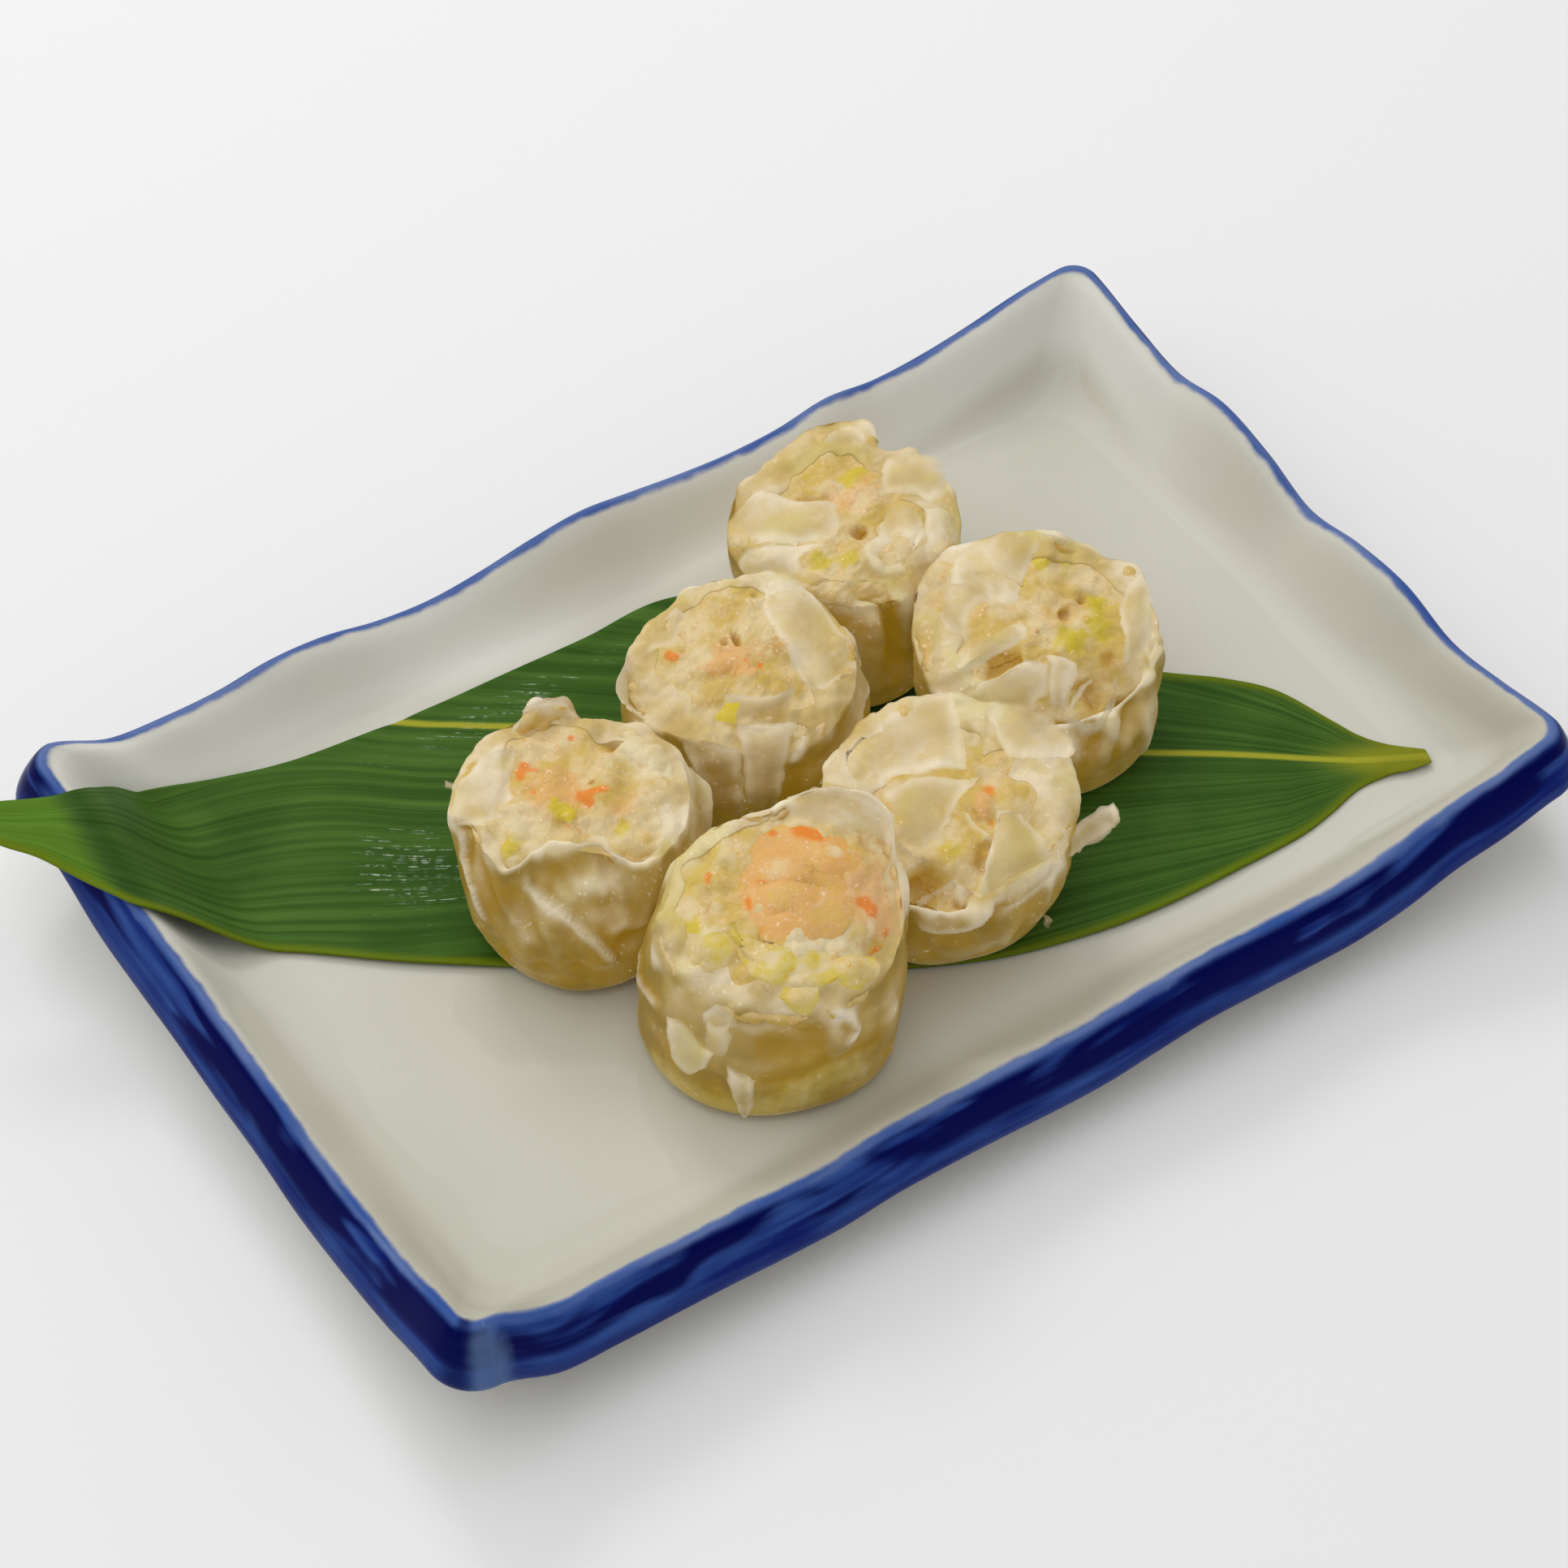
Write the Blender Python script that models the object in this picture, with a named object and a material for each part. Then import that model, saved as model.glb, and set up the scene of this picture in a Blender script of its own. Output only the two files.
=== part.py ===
"""Six steamed siu mai on a trimmed bamboo leaf, on a rectangular stoneware plate.

Every dumpling is a thin pleated wrapper, open or folded over at its mouth, round a core of filling.
The plate is a slab with its four sides bent up, raised at the corners, on a shallow foot.
Units are metres, +Z is up, +X runs along the plate's long side, and the plate stands on Z = 0.
"""

import math
from dataclasses import dataclass

import bmesh
import bpy
from mathutils import Vector
from mathutils.bvhtree import BVHTree

MM = 0.001

# Plate: the crest is the top edge of the walls, seen from above a rectangle.
CREST_HALF_X = 100 * MM
CREST_HALF_Y = 62.6 * MM
CREST_CORNER_RADIUS = 3 * MM
CREST_AT_CORNER = 26 * MM
CREST_AT_LONG_SIDE = 19.3 * MM
CREST_AT_SHORT_SIDE = 22.6 * MM
CORNER_RISE_LENGTH = 13 * MM
LONG_WAVE = (1.0 * MM, 52 * MM)
SHORT_WAVE = (1.1 * MM, 44 * MM)
WELL_TOP = 11 * MM
WALL_FOOT_INSET = 9.5 * MM
EDGE_RUN = 5.4 * MM
EDGE_DROP = 5.4 * MM
UNDERSIDE = 4.8 * MM
FOOT_INSET = 22 * MM
FOOT_WIDTH = 5 * MM
FOOT_RECESS = 3.4 * MM
LONG_STEPS, SHORT_STEPS, CORNER_STEPS = 13, 9, 3

# Leaf: one blade from its stalk at +X to its tip past the plate's -X side.
LEAF_THICKNESS = 0.5 * MM
REST_GAP = 0.3 * MM
LEAF_LIFT_START = -79 * MM
LEAF_LIFT_END = -100 * MM
LEAF_STEPS, LEAF_ROWS = 30, 7
LEAF_LOWER_EDGE = [
    (88, -48.6), (80, -46.5), (62, -48.4), (36, -47.7), (7, -41.6), (-24, -24.5),
    (-55.4, -2.9), (-80.8, 16.9), (-94, 25.2), (-103.2, 35.8), (-111, 46.8), (-119, 57.6),
]
LEAF_UPPER_EDGE = [
    (88.6, -46.2), (82.5, -37), (78, -24), (63, -8.2), (46, 13), (28, 35),
    (5.5, 47.2), (-26, 47.8), (-55, 49.2), (-84, 54), (-100, 52.8), (-119, 60.2),
]

# Dumplings.
WRAPPER_THICKNESS = 1.2 * MM
CORE_GAP = 0.35 * MM
LUMP_HEIGHT = 0.9 * MM
AROUND = 36
CORE_AROUND = 24
DUMPLING_FLOOR = WELL_TOP + REST_GAP + LEAF_THICKNESS + REST_GAP


@dataclass
class Dumpling:
    """Lengths are in millimetres and directions in degrees, turned from +X towards +Y."""

    name: str
    centre: tuple
    lean: tuple
    base: float
    belly: float
    mouth: float
    height: float
    tilt: float
    tilt_towards: float
    pleats: int
    pleat_depth: float
    ruffle: float
    fold_in: float
    closed: float
    closed_towards: float
    dome: float
    seed: float


DUMPLINGS = [
    Dumpling("1", (-29.0, -32.0), (2.2, -1.4), 18.6, 0.8, 17.2, 27.0, 3.0, 50, 7, 0.35, 0.6,
             1.6, 0.10, 180, 1.8, 0.4),
    Dumpling("2", (8.5, -25.4), (0.1, -0.5), 16.6, 1.0, 17.9, 20.5, 1.0, 60, 9, 0.8, 0.9,
             3.0, 0.55, 160, 2.0, 1.3),
    Dumpling("3", (41.6, -7.4), (-1.6, 1.0), 16.4, 0.9, 17.6, 21.5, 1.2, 100, 10, 0.9, 1.0,
             1.2, 0.60, 190, 2.2, 2.1),
    Dumpling("4", (-41.0, 1.8), (0.2, -0.2), 16.3, 1.0, 17.9, 24.5, 1.4, 230, 9, 0.8, 1.1,
             1.0, 0.05, 0, 1.2, 3.2),
    Dumpling("5", (-3.6, 10.6), (-1.0, 0.7), 15.6, 1.0, 17.9, 24.0, 0.8, 240, 10, 0.8, 0.7,
             1.8, 0.30, 20, 1.6, 4.6),
    Dumpling("6", (29.4, 26.6), (-1.6, 3.2), 15.2, 1.0, 17.6, 21.0, 1.2, 60, 9, 0.9, 1.0,
             2.2, 0.50, 215, 2.0, 5.5),
]

SHRIMP_ON = "1"
SHRIMP_HALF_LENGTH = 9.0 * MM
SHRIMP_HALF_WIDTH = 7.0 * MM
SHRIMP_RISE = 2.6 * MM
SHRIMP_TURN = math.radians(52)
SHRIMP_OFFSET = (1.2, 2.6)


def clear_scene():
    for obj in list(bpy.data.objects):
        bpy.data.objects.remove(obj, do_unlink=True)


def make_material(name, colour, roughness, metallic=0.0):
    material = bpy.data.materials.new(name)
    material.use_nodes = True
    shader = material.node_tree.nodes["Principled BSDF"]
    shader.inputs["Base Color"].default_value = (*colour, 1)
    shader.inputs["Roughness"].default_value = roughness
    shader.inputs["Metallic"].default_value = metallic
    return material


def make_object(name, points, faces, material, location=(0, 0, 0)):
    """One closed mesh object with its faces turned outwards."""
    mesh = bpy.data.meshes.new(name)
    mesh.from_pydata([tuple(point) for point in points], [], faces)
    shell = bmesh.new()
    shell.from_mesh(mesh)
    bmesh.ops.recalc_face_normals(shell, faces=shell.faces)
    shell.to_mesh(mesh)
    shell.free()
    mesh.shade_smooth()
    mesh.set_sharp_from_angle(angle=math.radians(50))
    mesh.materials.append(material)
    obj = bpy.data.objects.new(name, mesh)
    obj.location = location
    bpy.context.scene.collection.objects.link(obj)
    return obj


def skin_rings(rings):
    """Faces between neighbouring rings of equal length, with a fan to a centre point at either end."""
    count = len(rings[0])
    points = [point for ring in rings for point in ring]
    faces = []
    for index in range(len(rings) - 1):
        low, high = index * count, (index + 1) * count
        for i in range(count):
            j = (i + 1) % count
            faces.append((low + i, low + j, high + j, high + i))
    for start, ring in ((0, rings[0]), ((len(rings) - 1) * count, rings[-1])):
        centre = sum((Vector(point) for point in ring), Vector()) / count
        points.append(centre)
        faces += [(start + i, start + (i + 1) % count, len(points) - 1) for i in range(count)]
    return points, faces


def smooth_step(value):
    value = min(max(value, 0.0), 1.0)
    return value * value * (3 - 2 * value)


# Plate


def crest_height(x, y):
    """Height of the wall's top edge beside a point: high at the corners, gently waved between them."""
    to_long_end = max(CREST_HALF_X - abs(x), 0.0)
    to_short_end = max(CREST_HALF_Y - abs(y), 0.0)
    on_long_side = to_short_end < to_long_end
    along, past_corner = (x, to_long_end) if on_long_side else (y, to_short_end)
    middle = CREST_AT_LONG_SIDE if on_long_side else CREST_AT_SHORT_SIDE
    wave, length = LONG_WAVE if on_long_side else SHORT_WAVE
    rise = math.exp(-((past_corner / CORNER_RISE_LENGTH) ** 1.3))
    waved = wave * math.cos(2 * math.pi * along / length) * (1 - rise)
    return middle + (CREST_AT_CORNER - middle) * rise + waved


def outline(outset):
    """A rounded rectangle round the plate, outset from the crest."""
    radius = CREST_CORNER_RADIUS + (outset if outset > 0 else -0.5 * outset)
    half_x, half_y = CREST_HALF_X + outset, CREST_HALF_Y + outset
    long_reach, short_reach = half_x - radius, half_y - radius
    found = []
    for turn in range(4):
        along_x = turn % 2 == 0
        reach, side = (long_reach, half_y) if along_x else (short_reach, half_x)
        steps = LONG_STEPS if along_x else SHORT_STEPS
        local = [((2 * i / steps - 1) * reach, -side) for i in range(steps + 1)]
        for i in range(1, CORNER_STEPS):
            angle = math.pi / 2 * i / CORNER_STEPS
            local.append((reach + radius * math.sin(angle), -side + radius * (1 - math.cos(angle))))
        spin = turn * math.pi / 2
        cos, sin = math.cos(spin), math.sin(spin)
        found += [(cos * x - sin * y, sin * x + cos * y) for x, y in local]
    return found


def crest_beside(x, y, outset):
    """The crest's height for a point of an outline, read where that outline would meet the crest."""
    scale_x = CREST_HALF_X / (CREST_HALF_X + outset)
    scale_y = CREST_HALF_Y / (CREST_HALF_Y + outset)
    return crest_height(x * scale_x, y * scale_y)


# Each ring of the plate: its outset from the crest, and its height as a share of the way
# from a fixed level up to the crest, less a drop.
WALL_RINGS = [
    (-15 * MM, WELL_TOP, 0.0, 0.0),
    (-WALL_FOOT_INSET, WELL_TOP, 0.06, 0.0),
    (-6.5 * MM, WELL_TOP, 0.36, 0.0),
    (-3.2 * MM, WELL_TOP, 0.78, 0.0),
    (-0.8 * MM, WELL_TOP, 1.0, 0.35 * MM),
    (0.5 * MM, WELL_TOP, 1.0, 0.0),
    (2.6 * MM, WELL_TOP, 1.0, 1.5 * MM),
    (0.9 * EDGE_RUN, WELL_TOP, 1.0, 0.75 * EDGE_DROP),
    (EDGE_RUN, WELL_TOP, 1.0, EDGE_DROP),
    (0.86 * EDGE_RUN, WELL_TOP, 1.0, 1.28 * EDGE_DROP),
    (0.2 * EDGE_RUN, UNDERSIDE, 0.55, 0.0),
    (-6 * MM, UNDERSIDE, 0.12, 0.0),
    (-11 * MM, UNDERSIDE, 0.0, 0.0),
    (-FOOT_INSET, UNDERSIDE, 0.0, 0.0),
    (-FOOT_INSET - 0.8 * MM, 0.0, 0.0, 0.0),
    (-FOOT_INSET - FOOT_WIDTH, 0.0, 0.0, 0.0),
    (-FOOT_INSET - FOOT_WIDTH - 0.8 * MM, FOOT_RECESS, 0.0, 0.0),
]


def plate_ring(outset, level, share, drop):
    ring = []
    for x, y in outline(outset):
        crest = crest_beside(x, y, outset)
        ring.append((x, y, level + share * (crest - level) - drop))
    return ring


def plate_shape():
    return skin_rings([plate_ring(*ring) for ring in WALL_RINGS])


def make_plate():
    stoneware = make_material("grey_green_glaze", (0.56, 0.55, 0.49), 0.22)
    return make_object("plate", *plate_shape(), stoneware)


# Leaf


def through(points, share):
    """A point on the smooth curve through a list of points, share 0 to 1 along it."""
    spans = len(points) - 1
    place = min(share * spans, spans - 1e-9)
    i = int(place)
    t = place - i
    p0, p1, p2, p3 = (Vector(points[min(max(i + k, 0), spans)]) for k in (-1, 0, 1, 2))
    return 0.5 * (2 * p1 + (p2 - p0) * t + (2 * p0 - 5 * p1 + 4 * p2 - p3) * t**2
                  + (3 * p1 - p0 - 3 * p2 + p3) * t**3)


def leaf_height(place, plate_surface):
    """Underside of the leaf: flat on the well, then bridging up to the crest and level beyond it."""
    lift = smooth_step((LEAF_LIFT_START - place.x) / (LEAF_LIFT_START - LEAF_LIFT_END))
    top_of_bridge = crest_height(-CREST_HALF_X, place.y) + 0.5 * MM
    bridge = WELL_TOP + (top_of_bridge - WELL_TOP) * lift
    hit = plate_surface.ray_cast((place.x, place.y, 1), (0, 0, -1))[0]
    plate_top = hit.z if hit else 0.0
    return max(bridge, plate_top) + REST_GAP


def make_leaf():
    plate_surface = BVHTree.FromPolygons(*plate_shape())
    upper_side, under_side = [], []
    for step in range(LEAF_STEPS + 1):
        share = step / LEAF_STEPS
        low = through(LEAF_LOWER_EDGE, share) * MM
        high = through(LEAF_UPPER_EDGE, share) * MM
        for row in range(LEAF_ROWS + 1):
            place = low.lerp(high, row / LEAF_ROWS)
            z = leaf_height(place, plate_surface)
            under_side.append((place.x, place.y, z))
            upper_side.append((place.x, place.y, z + LEAF_THICKNESS))
    width = LEAF_ROWS + 1
    below = len(upper_side)
    faces = []
    for step in range(LEAF_STEPS):
        for row in range(LEAF_ROWS):
            corner = step * width + row
            quad = (corner, corner + 1, corner + width + 1, corner + width)
            faces += [quad, tuple(below + i for i in reversed(quad))]
    border = list(range(width)) + [i * width + LEAF_ROWS for i in range(1, LEAF_STEPS + 1)]
    border += [LEAF_STEPS * width + i for i in range(LEAF_ROWS - 1, -1, -1)]
    border += [i * width for i in range(LEAF_STEPS - 1, 0, -1)]
    for i, j in zip(border, border[1:] + border[:1]):
        faces.append((i, j, below + j, below + i))
    green = make_material("bamboo_leaf", (0.05, 0.14, 0.03), 0.4)
    return make_object("leaf", upper_side + under_side, faces, green)


# Dumplings


def wobble(angle, seed):
    """Slow unevenness round a dumpling, about -1 to 1."""
    return sum(math.sin(k * angle + seed * (1.7 * k + 0.6)) / k for k in (2, 3, 5))


def pleat(angle, dumpling):
    """1 on the sharp ridge of a pleat, -1 in the hollow between two."""
    turned = angle + 0.16 * math.sin(2 * angle + dumpling.seed)
    return 1 - 2 * abs(math.sin(0.5 * dumpling.pleats * turned + dumpling.seed))


def even_radius(dumpling, angle, share):
    """The wall's radius without its pleats, share 0 at its base and 1 at its mouth."""
    plain = dumpling.base + (dumpling.mouth - dumpling.base) * share
    plain += dumpling.belly * math.sin(math.pi * share)
    return (plain + 0.35 * wobble(angle, dumpling.seed)) * MM


def wall_radius(dumpling, angle, share):
    folds = dumpling.pleat_depth * pleat(angle, dumpling) * (0.3 + 0.7 * share)
    return even_radius(dumpling, angle, share) + folds * MM


def even_height(dumpling, angle):
    """Height of the wall's top above the dumpling's floor, without its ruffles."""
    tilt = dumpling.tilt * math.cos(angle - math.radians(dumpling.tilt_towards))
    return (dumpling.height + tilt + 0.5 * dumpling.ruffle * wobble(angle, dumpling.seed)) * MM


def mouth_height(dumpling, angle):
    return even_height(dumpling, angle) + 0.6 * dumpling.ruffle * pleat(angle, dumpling) * MM


def closed_share(dumpling, angle):
    """How far the wrapper is folded in over the filling on the closed side, 0 to 1."""
    facing = 0.5 + 0.5 * math.cos(angle - math.radians(dumpling.closed_towards))
    return dumpling.closed * smooth_step(1.6 * facing - 0.4)


def lumps(dumpling, angle, share):
    """Coarse unevenness of the chopped filling, fading out towards the wrapper, about -1 to 1."""
    around = math.sin(3 * angle + 2.3 * dumpling.seed) + 0.7 * math.sin(5 * angle - dumpling.seed)
    across = math.cos(9 * share + dumpling.seed)
    return 0.6 * (around * share + across * (1 - share)) * (1 - share) * 2


def core_top(dumpling, angle, radius):
    """Height of the filling at a distance from the dumpling's axis: a dome that meets the wall below its top."""
    share = min(radius / (dumpling.mouth * MM), 1.0)
    middle = (dumpling.height - 1.2 + dumpling.dome) * MM
    side = even_height(dumpling, angle) - (2.2 + 0.6 * dumpling.ruffle) * MM
    return middle + (side - middle) * share * share


def point_at(dumpling, angle, radius, height):
    """A point measured from the middle of a dumpling's base. Its axis leans a little on the way up."""
    lean = height / dumpling.height
    x = dumpling.lean[0] * lean + radius * math.cos(angle)
    y = dumpling.lean[1] * lean + radius * math.sin(angle)
    return (x, y, height)


def stand(dumpling):
    """Where a dumpling's own origin, the middle of its base, is on the plate."""
    return (dumpling.centre[0] * MM, dumpling.centre[1] * MM, DUMPLING_FLOOR)


def round_ring(dumpling, around, radius_at, height_at):
    """A closed ring of points. height_at takes the angle and the radius there."""
    ring = []
    for i in range(around):
        angle = 2 * math.pi * i / around
        radius = radius_at(angle)
        ring.append(point_at(dumpling, angle, radius, height_at(angle, radius)))
    return ring


def make_wrapper(dumpling, dough):
    """A cup of even skin: out and up the wall, in over the filling at the mouth, and back down inside."""
    skin = WRAPPER_THICKNESS

    def wall(share, inset, sink):
        return round_ring(dumpling, AROUND, lambda a: wall_radius(dumpling, a, share) - inset,
                          lambda a, r: max(share * mouth_height(dumpling, a) - sink, sink))

    def lip(part, above):
        """The part of the skin folded in over the mouth, part 0 at the wall and 1 at the lip's edge."""
        def reach(angle):
            pleated = wall_radius(dumpling, angle, 1.0)
            even = even_radius(dumpling, angle, 1.0)
            fold = dumpling.fold_in / dumpling.mouth + closed_share(dumpling, angle)
            return (pleated + part * (even - pleated) - skin) * (1 - part * fold)

        return round_ring(dumpling, AROUND, reach, lambda a, r: core_top(dumpling, a, r) + above)

    rings = [wall(0.0, 1.2 * MM, 0.0)]
    rings += [wall(share, 0.0, 0.0) for share in (0.06, 0.35, 0.7, 1.0)]
    rings += [lip(0.5, CORE_GAP + 1.0 * MM + skin), lip(1.0, CORE_GAP + 0.3 * MM + skin)]
    rings += [lip(1.0, CORE_GAP + 0.2 * MM), lip(0.5, CORE_GAP + 0.5 * MM)]
    rings += [wall(share, skin, skin) for share in (0.93, 0.4, 0.06)]
    points, faces = skin_rings(rings)
    return make_object("wrapper_" + dumpling.name, points, faces, dough, stand(dumpling))


def make_filling(dumpling, meat):
    """The core, a gap inside the wrapper's wall, with a domed top."""
    inset = WRAPPER_THICKNESS + CORE_GAP + (dumpling.pleat_depth + 0.5) * MM
    floor = WRAPPER_THICKNESS + CORE_GAP

    def ring(share, height_at):
        return round_ring(dumpling, CORE_AROUND, lambda a: even_radius(dumpling, a, share) - inset, height_at)

    def crown(part):
        open_top = LUMP_HEIGHT if dumpling.closed < 0.2 else 0.4 * LUMP_HEIGHT
        return round_ring(dumpling, CORE_AROUND, lambda a: (even_radius(dumpling, a, 0.9) - inset) * part,
                          lambda a, r: core_top(dumpling, a, r) + open_top * (lumps(dumpling, a, part) - 0.6))

    rings = [ring(0.06, lambda a, r: floor), ring(0.8, lambda a, r: 0.8 * even_height(dumpling, a) - 0.5 * MM)]
    rings += [crown(part) for part in (0.84, 0.64, 0.44, 0.24, 0.08)]
    points, faces = skin_rings(rings)
    return make_object("filling_" + dumpling.name, points, faces, meat, stand(dumpling))


def make_shrimp(dumpling):
    """A chunk of shrimp lying on the filling, domed above and following the filling below."""
    around, reach = 16, (1.0, 0.82, 0.45)
    rings = []
    for part, upper in [(reach[2], False), (reach[1], False), (reach[0], True), (reach[1], True), (reach[2], True)]:
        ring = []
        for i in range(around):
            angle = 2 * math.pi * i / around
            local = Vector((SHRIMP_HALF_LENGTH * part * math.cos(angle), SHRIMP_HALF_WIDTH * part * math.sin(angle)))
            local *= 1 + 0.05 * wobble(angle, 1.0)
            cos, sin = math.cos(SHRIMP_TURN), math.sin(SHRIMP_TURN)
            x = cos * local.x - sin * local.y + SHRIMP_OFFSET[0] * MM
            y = sin * local.x + cos * local.y + SHRIMP_OFFSET[1] * MM
            radius, heading = math.hypot(x, y), math.atan2(y, x)
            height = core_top(dumpling, heading, radius) + 0.45 * MM
            height += SHRIMP_RISE * math.sqrt(1 - part * part) + 0.4 * MM if upper else 0.0
            ring.append(point_at(dumpling, heading, radius, height))
        rings.append(ring)
    points, faces = skin_rings(rings)
    pink = make_material("cooked_shrimp", (0.80, 0.50, 0.30), 0.35)
    return make_object("shrimp_" + dumpling.name, points, faces, pink, stand(dumpling))


def centre_on_footprint(objects):
    """Hangs every object on one empty, moved so that the middle of the whole footprint is at the origin."""
    serving = bpy.data.objects.new("serving", None)
    bpy.context.scene.collection.objects.link(serving)
    corners = [obj.location + vertex.co for obj in objects for vertex in obj.data.vertices]
    for axis in (0, 1):
        along = [corner[axis] for corner in corners]
        serving.location[axis] = -(min(along) + max(along)) / 2
    for obj in objects:
        obj.parent = serving


def main():
    clear_scene()
    dough = make_material("steamed_wrapper", (0.72, 0.60, 0.38), 0.38)
    meat = make_material("pork_and_cabbage", (0.66, 0.48, 0.24), 0.45)
    made = [make_plate(), make_leaf()]
    for dumpling in DUMPLINGS:
        made += [make_wrapper(dumpling, dough), make_filling(dumpling, meat)]
        if dumpling.name == SHRIMP_ON:
            made.append(make_shrimp(dumpling))
    centre_on_footprint(made)


main()
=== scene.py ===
"""Six siu mai on a trimmed bamboo leaf, on a rectangular stoneware plate with a cobalt-blue edge.

Lengths in the tables are millimetres. The dumplings are described as seen from the plate's near left
corner: x to the right, y away, z up from the base, and angles turn from right (0) to away (90).
"""

import math

import bpy
import numpy as np
from mathutils import Matrix, Vector


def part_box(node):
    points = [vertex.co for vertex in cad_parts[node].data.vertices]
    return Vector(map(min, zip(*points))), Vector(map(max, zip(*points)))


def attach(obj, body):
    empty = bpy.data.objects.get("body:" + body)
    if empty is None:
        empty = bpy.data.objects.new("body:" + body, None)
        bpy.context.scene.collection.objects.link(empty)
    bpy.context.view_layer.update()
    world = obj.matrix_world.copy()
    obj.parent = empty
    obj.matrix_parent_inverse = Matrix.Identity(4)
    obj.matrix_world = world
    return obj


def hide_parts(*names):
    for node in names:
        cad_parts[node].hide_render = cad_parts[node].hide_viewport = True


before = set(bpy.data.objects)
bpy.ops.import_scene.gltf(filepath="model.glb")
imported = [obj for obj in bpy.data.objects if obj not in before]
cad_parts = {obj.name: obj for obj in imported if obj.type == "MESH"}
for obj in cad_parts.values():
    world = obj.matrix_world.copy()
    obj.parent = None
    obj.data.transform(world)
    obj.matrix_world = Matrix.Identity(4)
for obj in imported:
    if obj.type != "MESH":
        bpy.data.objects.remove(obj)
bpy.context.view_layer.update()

MM = 0.001


# Finishes


def srgb(red, green, blue):
    """A colour given as 0 to 255 screen values, made linear."""
    linear = []
    for value in (red, green, blue):
        value /= 255
        linear.append(value / 12.92 if value <= 0.04045 else ((value + 0.055) / 1.055) ** 2.4)
    return (*linear, 1.0)


BLACK = (0, 0, 0, 1)


class Value:
    """A number that varies over a surface. Arithmetic on it adds Math nodes."""

    def __init__(self, finish, socket):
        self.finish = finish
        self.socket = socket

    def __add__(self, other):
        return self.finish.maths("ADD", self, other)

    def __sub__(self, other):
        return self.finish.maths("SUBTRACT", self, other)

    def __rsub__(self, other):
        return self.finish.maths("SUBTRACT", other, self)

    def __mul__(self, other):
        return self.finish.maths("MULTIPLY", self, other)

    def __truediv__(self, other):
        return self.finish.maths("DIVIDE", self, other)

    __radd__ = __add__
    __rmul__ = __mul__

    def at_least(self, other):
        return self.finish.maths("MAXIMUM", self, other)

    def at_most(self, other):
        return self.finish.maths("MINIMUM", self, other)

    def size(self):
        return self.finish.maths("ABSOLUTE", self)

    def wave(self):
        return self.finish.maths("SINE", self)

    def fade(self, start, end):
        """0 at start and 1 at end, with a soft run between them. start may be the larger."""
        settings = {"interpolation_type": "SMOOTHSTEP"}
        links = {"Value": self, "From Min": start, "From Max": end}
        return self.finish.node("ShaderNodeMapRange", settings, links, "Result")


class Finish:
    """One surface finish: a Principled shader, its constants and the nodes that vary it."""

    def __init__(self, name, **constants):
        self.material = bpy.data.materials.new(name)
        self.material.use_nodes = True
        self.tree = self.material.node_tree
        self.shader = self.tree.nodes["Principled BSDF"]
        for socket, value in constants.items():
            self.shader.inputs[socket.replace("_", " ")].default_value = value
        self.place = self.node("ShaderNodeTexCoord", output="Object")

    def node(self, kind, settings=None, links=None, output=0):
        """Adds a node, with its settings first, then the values or links of its sockets."""
        made = self.tree.nodes.new(kind)
        for name, value in (settings or {}).items():
            setattr(made, name, value)
        for socket, value in (links or {}).items():
            if isinstance(value, Value):
                self.tree.links.new(value.socket, made.inputs[socket])
            else:
                made.inputs[socket].default_value = value
        return Value(self, made.outputs[output])

    def maths(self, operation, *values):
        return self.node("ShaderNodeMath", {"operation": operation}, dict(enumerate(values)))

    def attribute(self, name):
        settings = {"attribute_type": "GEOMETRY", "attribute_name": name}
        return self.node("ShaderNodeAttribute", settings, output="Fac")

    def noise(self, size, detail, place=None, distortion=0.0):
        """Cloudy noise about 0.5 whose patches are size metres across."""
        links = {
            "Vector": place or self.place, "Scale": 1 / size, "Detail": detail, "Distortion": distortion
        }
        return self.node("ShaderNodeTexNoise", None, links, "Fac")

    def cells(self, size):
        """Distance from the middles of cells that are size metres across."""
        links = {"Vector": self.place, "Scale": 1 / size}
        return self.node("ShaderNodeTexVoronoi", None, links, "Distance")

    def place_from(self, x, y):
        return self.node("ShaderNodeCombineXYZ", None, {"X": x, "Y": y}, "Vector")

    def paint(self, colour, *layers):
        """Lays each (share, colour) of the layers over the first colour in turn."""
        for share, layer in layers:
            settings = {"data_type": "RGBA", "clamp_factor": True}
            colour = self.node("ShaderNodeMix", settings, {0: share, 6: colour, 7: layer}, 2)
        return colour

    def bump(self, height, distance, strength):
        links = {"Height": height, "Distance": distance, "Strength": strength}
        return self.node("ShaderNodeBump", None, links, "Normal")

    def show(self, **sockets):
        for name, value in sockets.items():
            self.tree.links.new(value.socket, self.shader.inputs[name.replace("_", " ")])
        return self.material


# Meshes


def add_piece(name, points, faces, material, node, attributes, facing=None):
    """A smooth mesh that rides on the serving and stands for the CAD node.

    facing is the direction in which each corner of each face is shaded, where it isn't the mesh's own.
    """
    mesh = bpy.data.meshes.new(name)
    mesh.from_pydata(np.asarray(points).tolist(), [], [tuple(face) for face in faces])
    for key, values in attributes.items():
        layer = mesh.attributes.new(key, "FLOAT", "POINT")
        layer.data.foreach_set("value", np.asarray(values, np.float32))
    mesh.validate()
    mesh.shade_smooth()
    if facing is not None:
        mesh.normals_split_custom_set(facing.tolist())
    mesh.materials.append(material)
    piece = bpy.data.objects.new(name, mesh)
    bpy.context.scene.collection.objects.link(piece)
    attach(piece, "root")
    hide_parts(node)
    return piece


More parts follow.
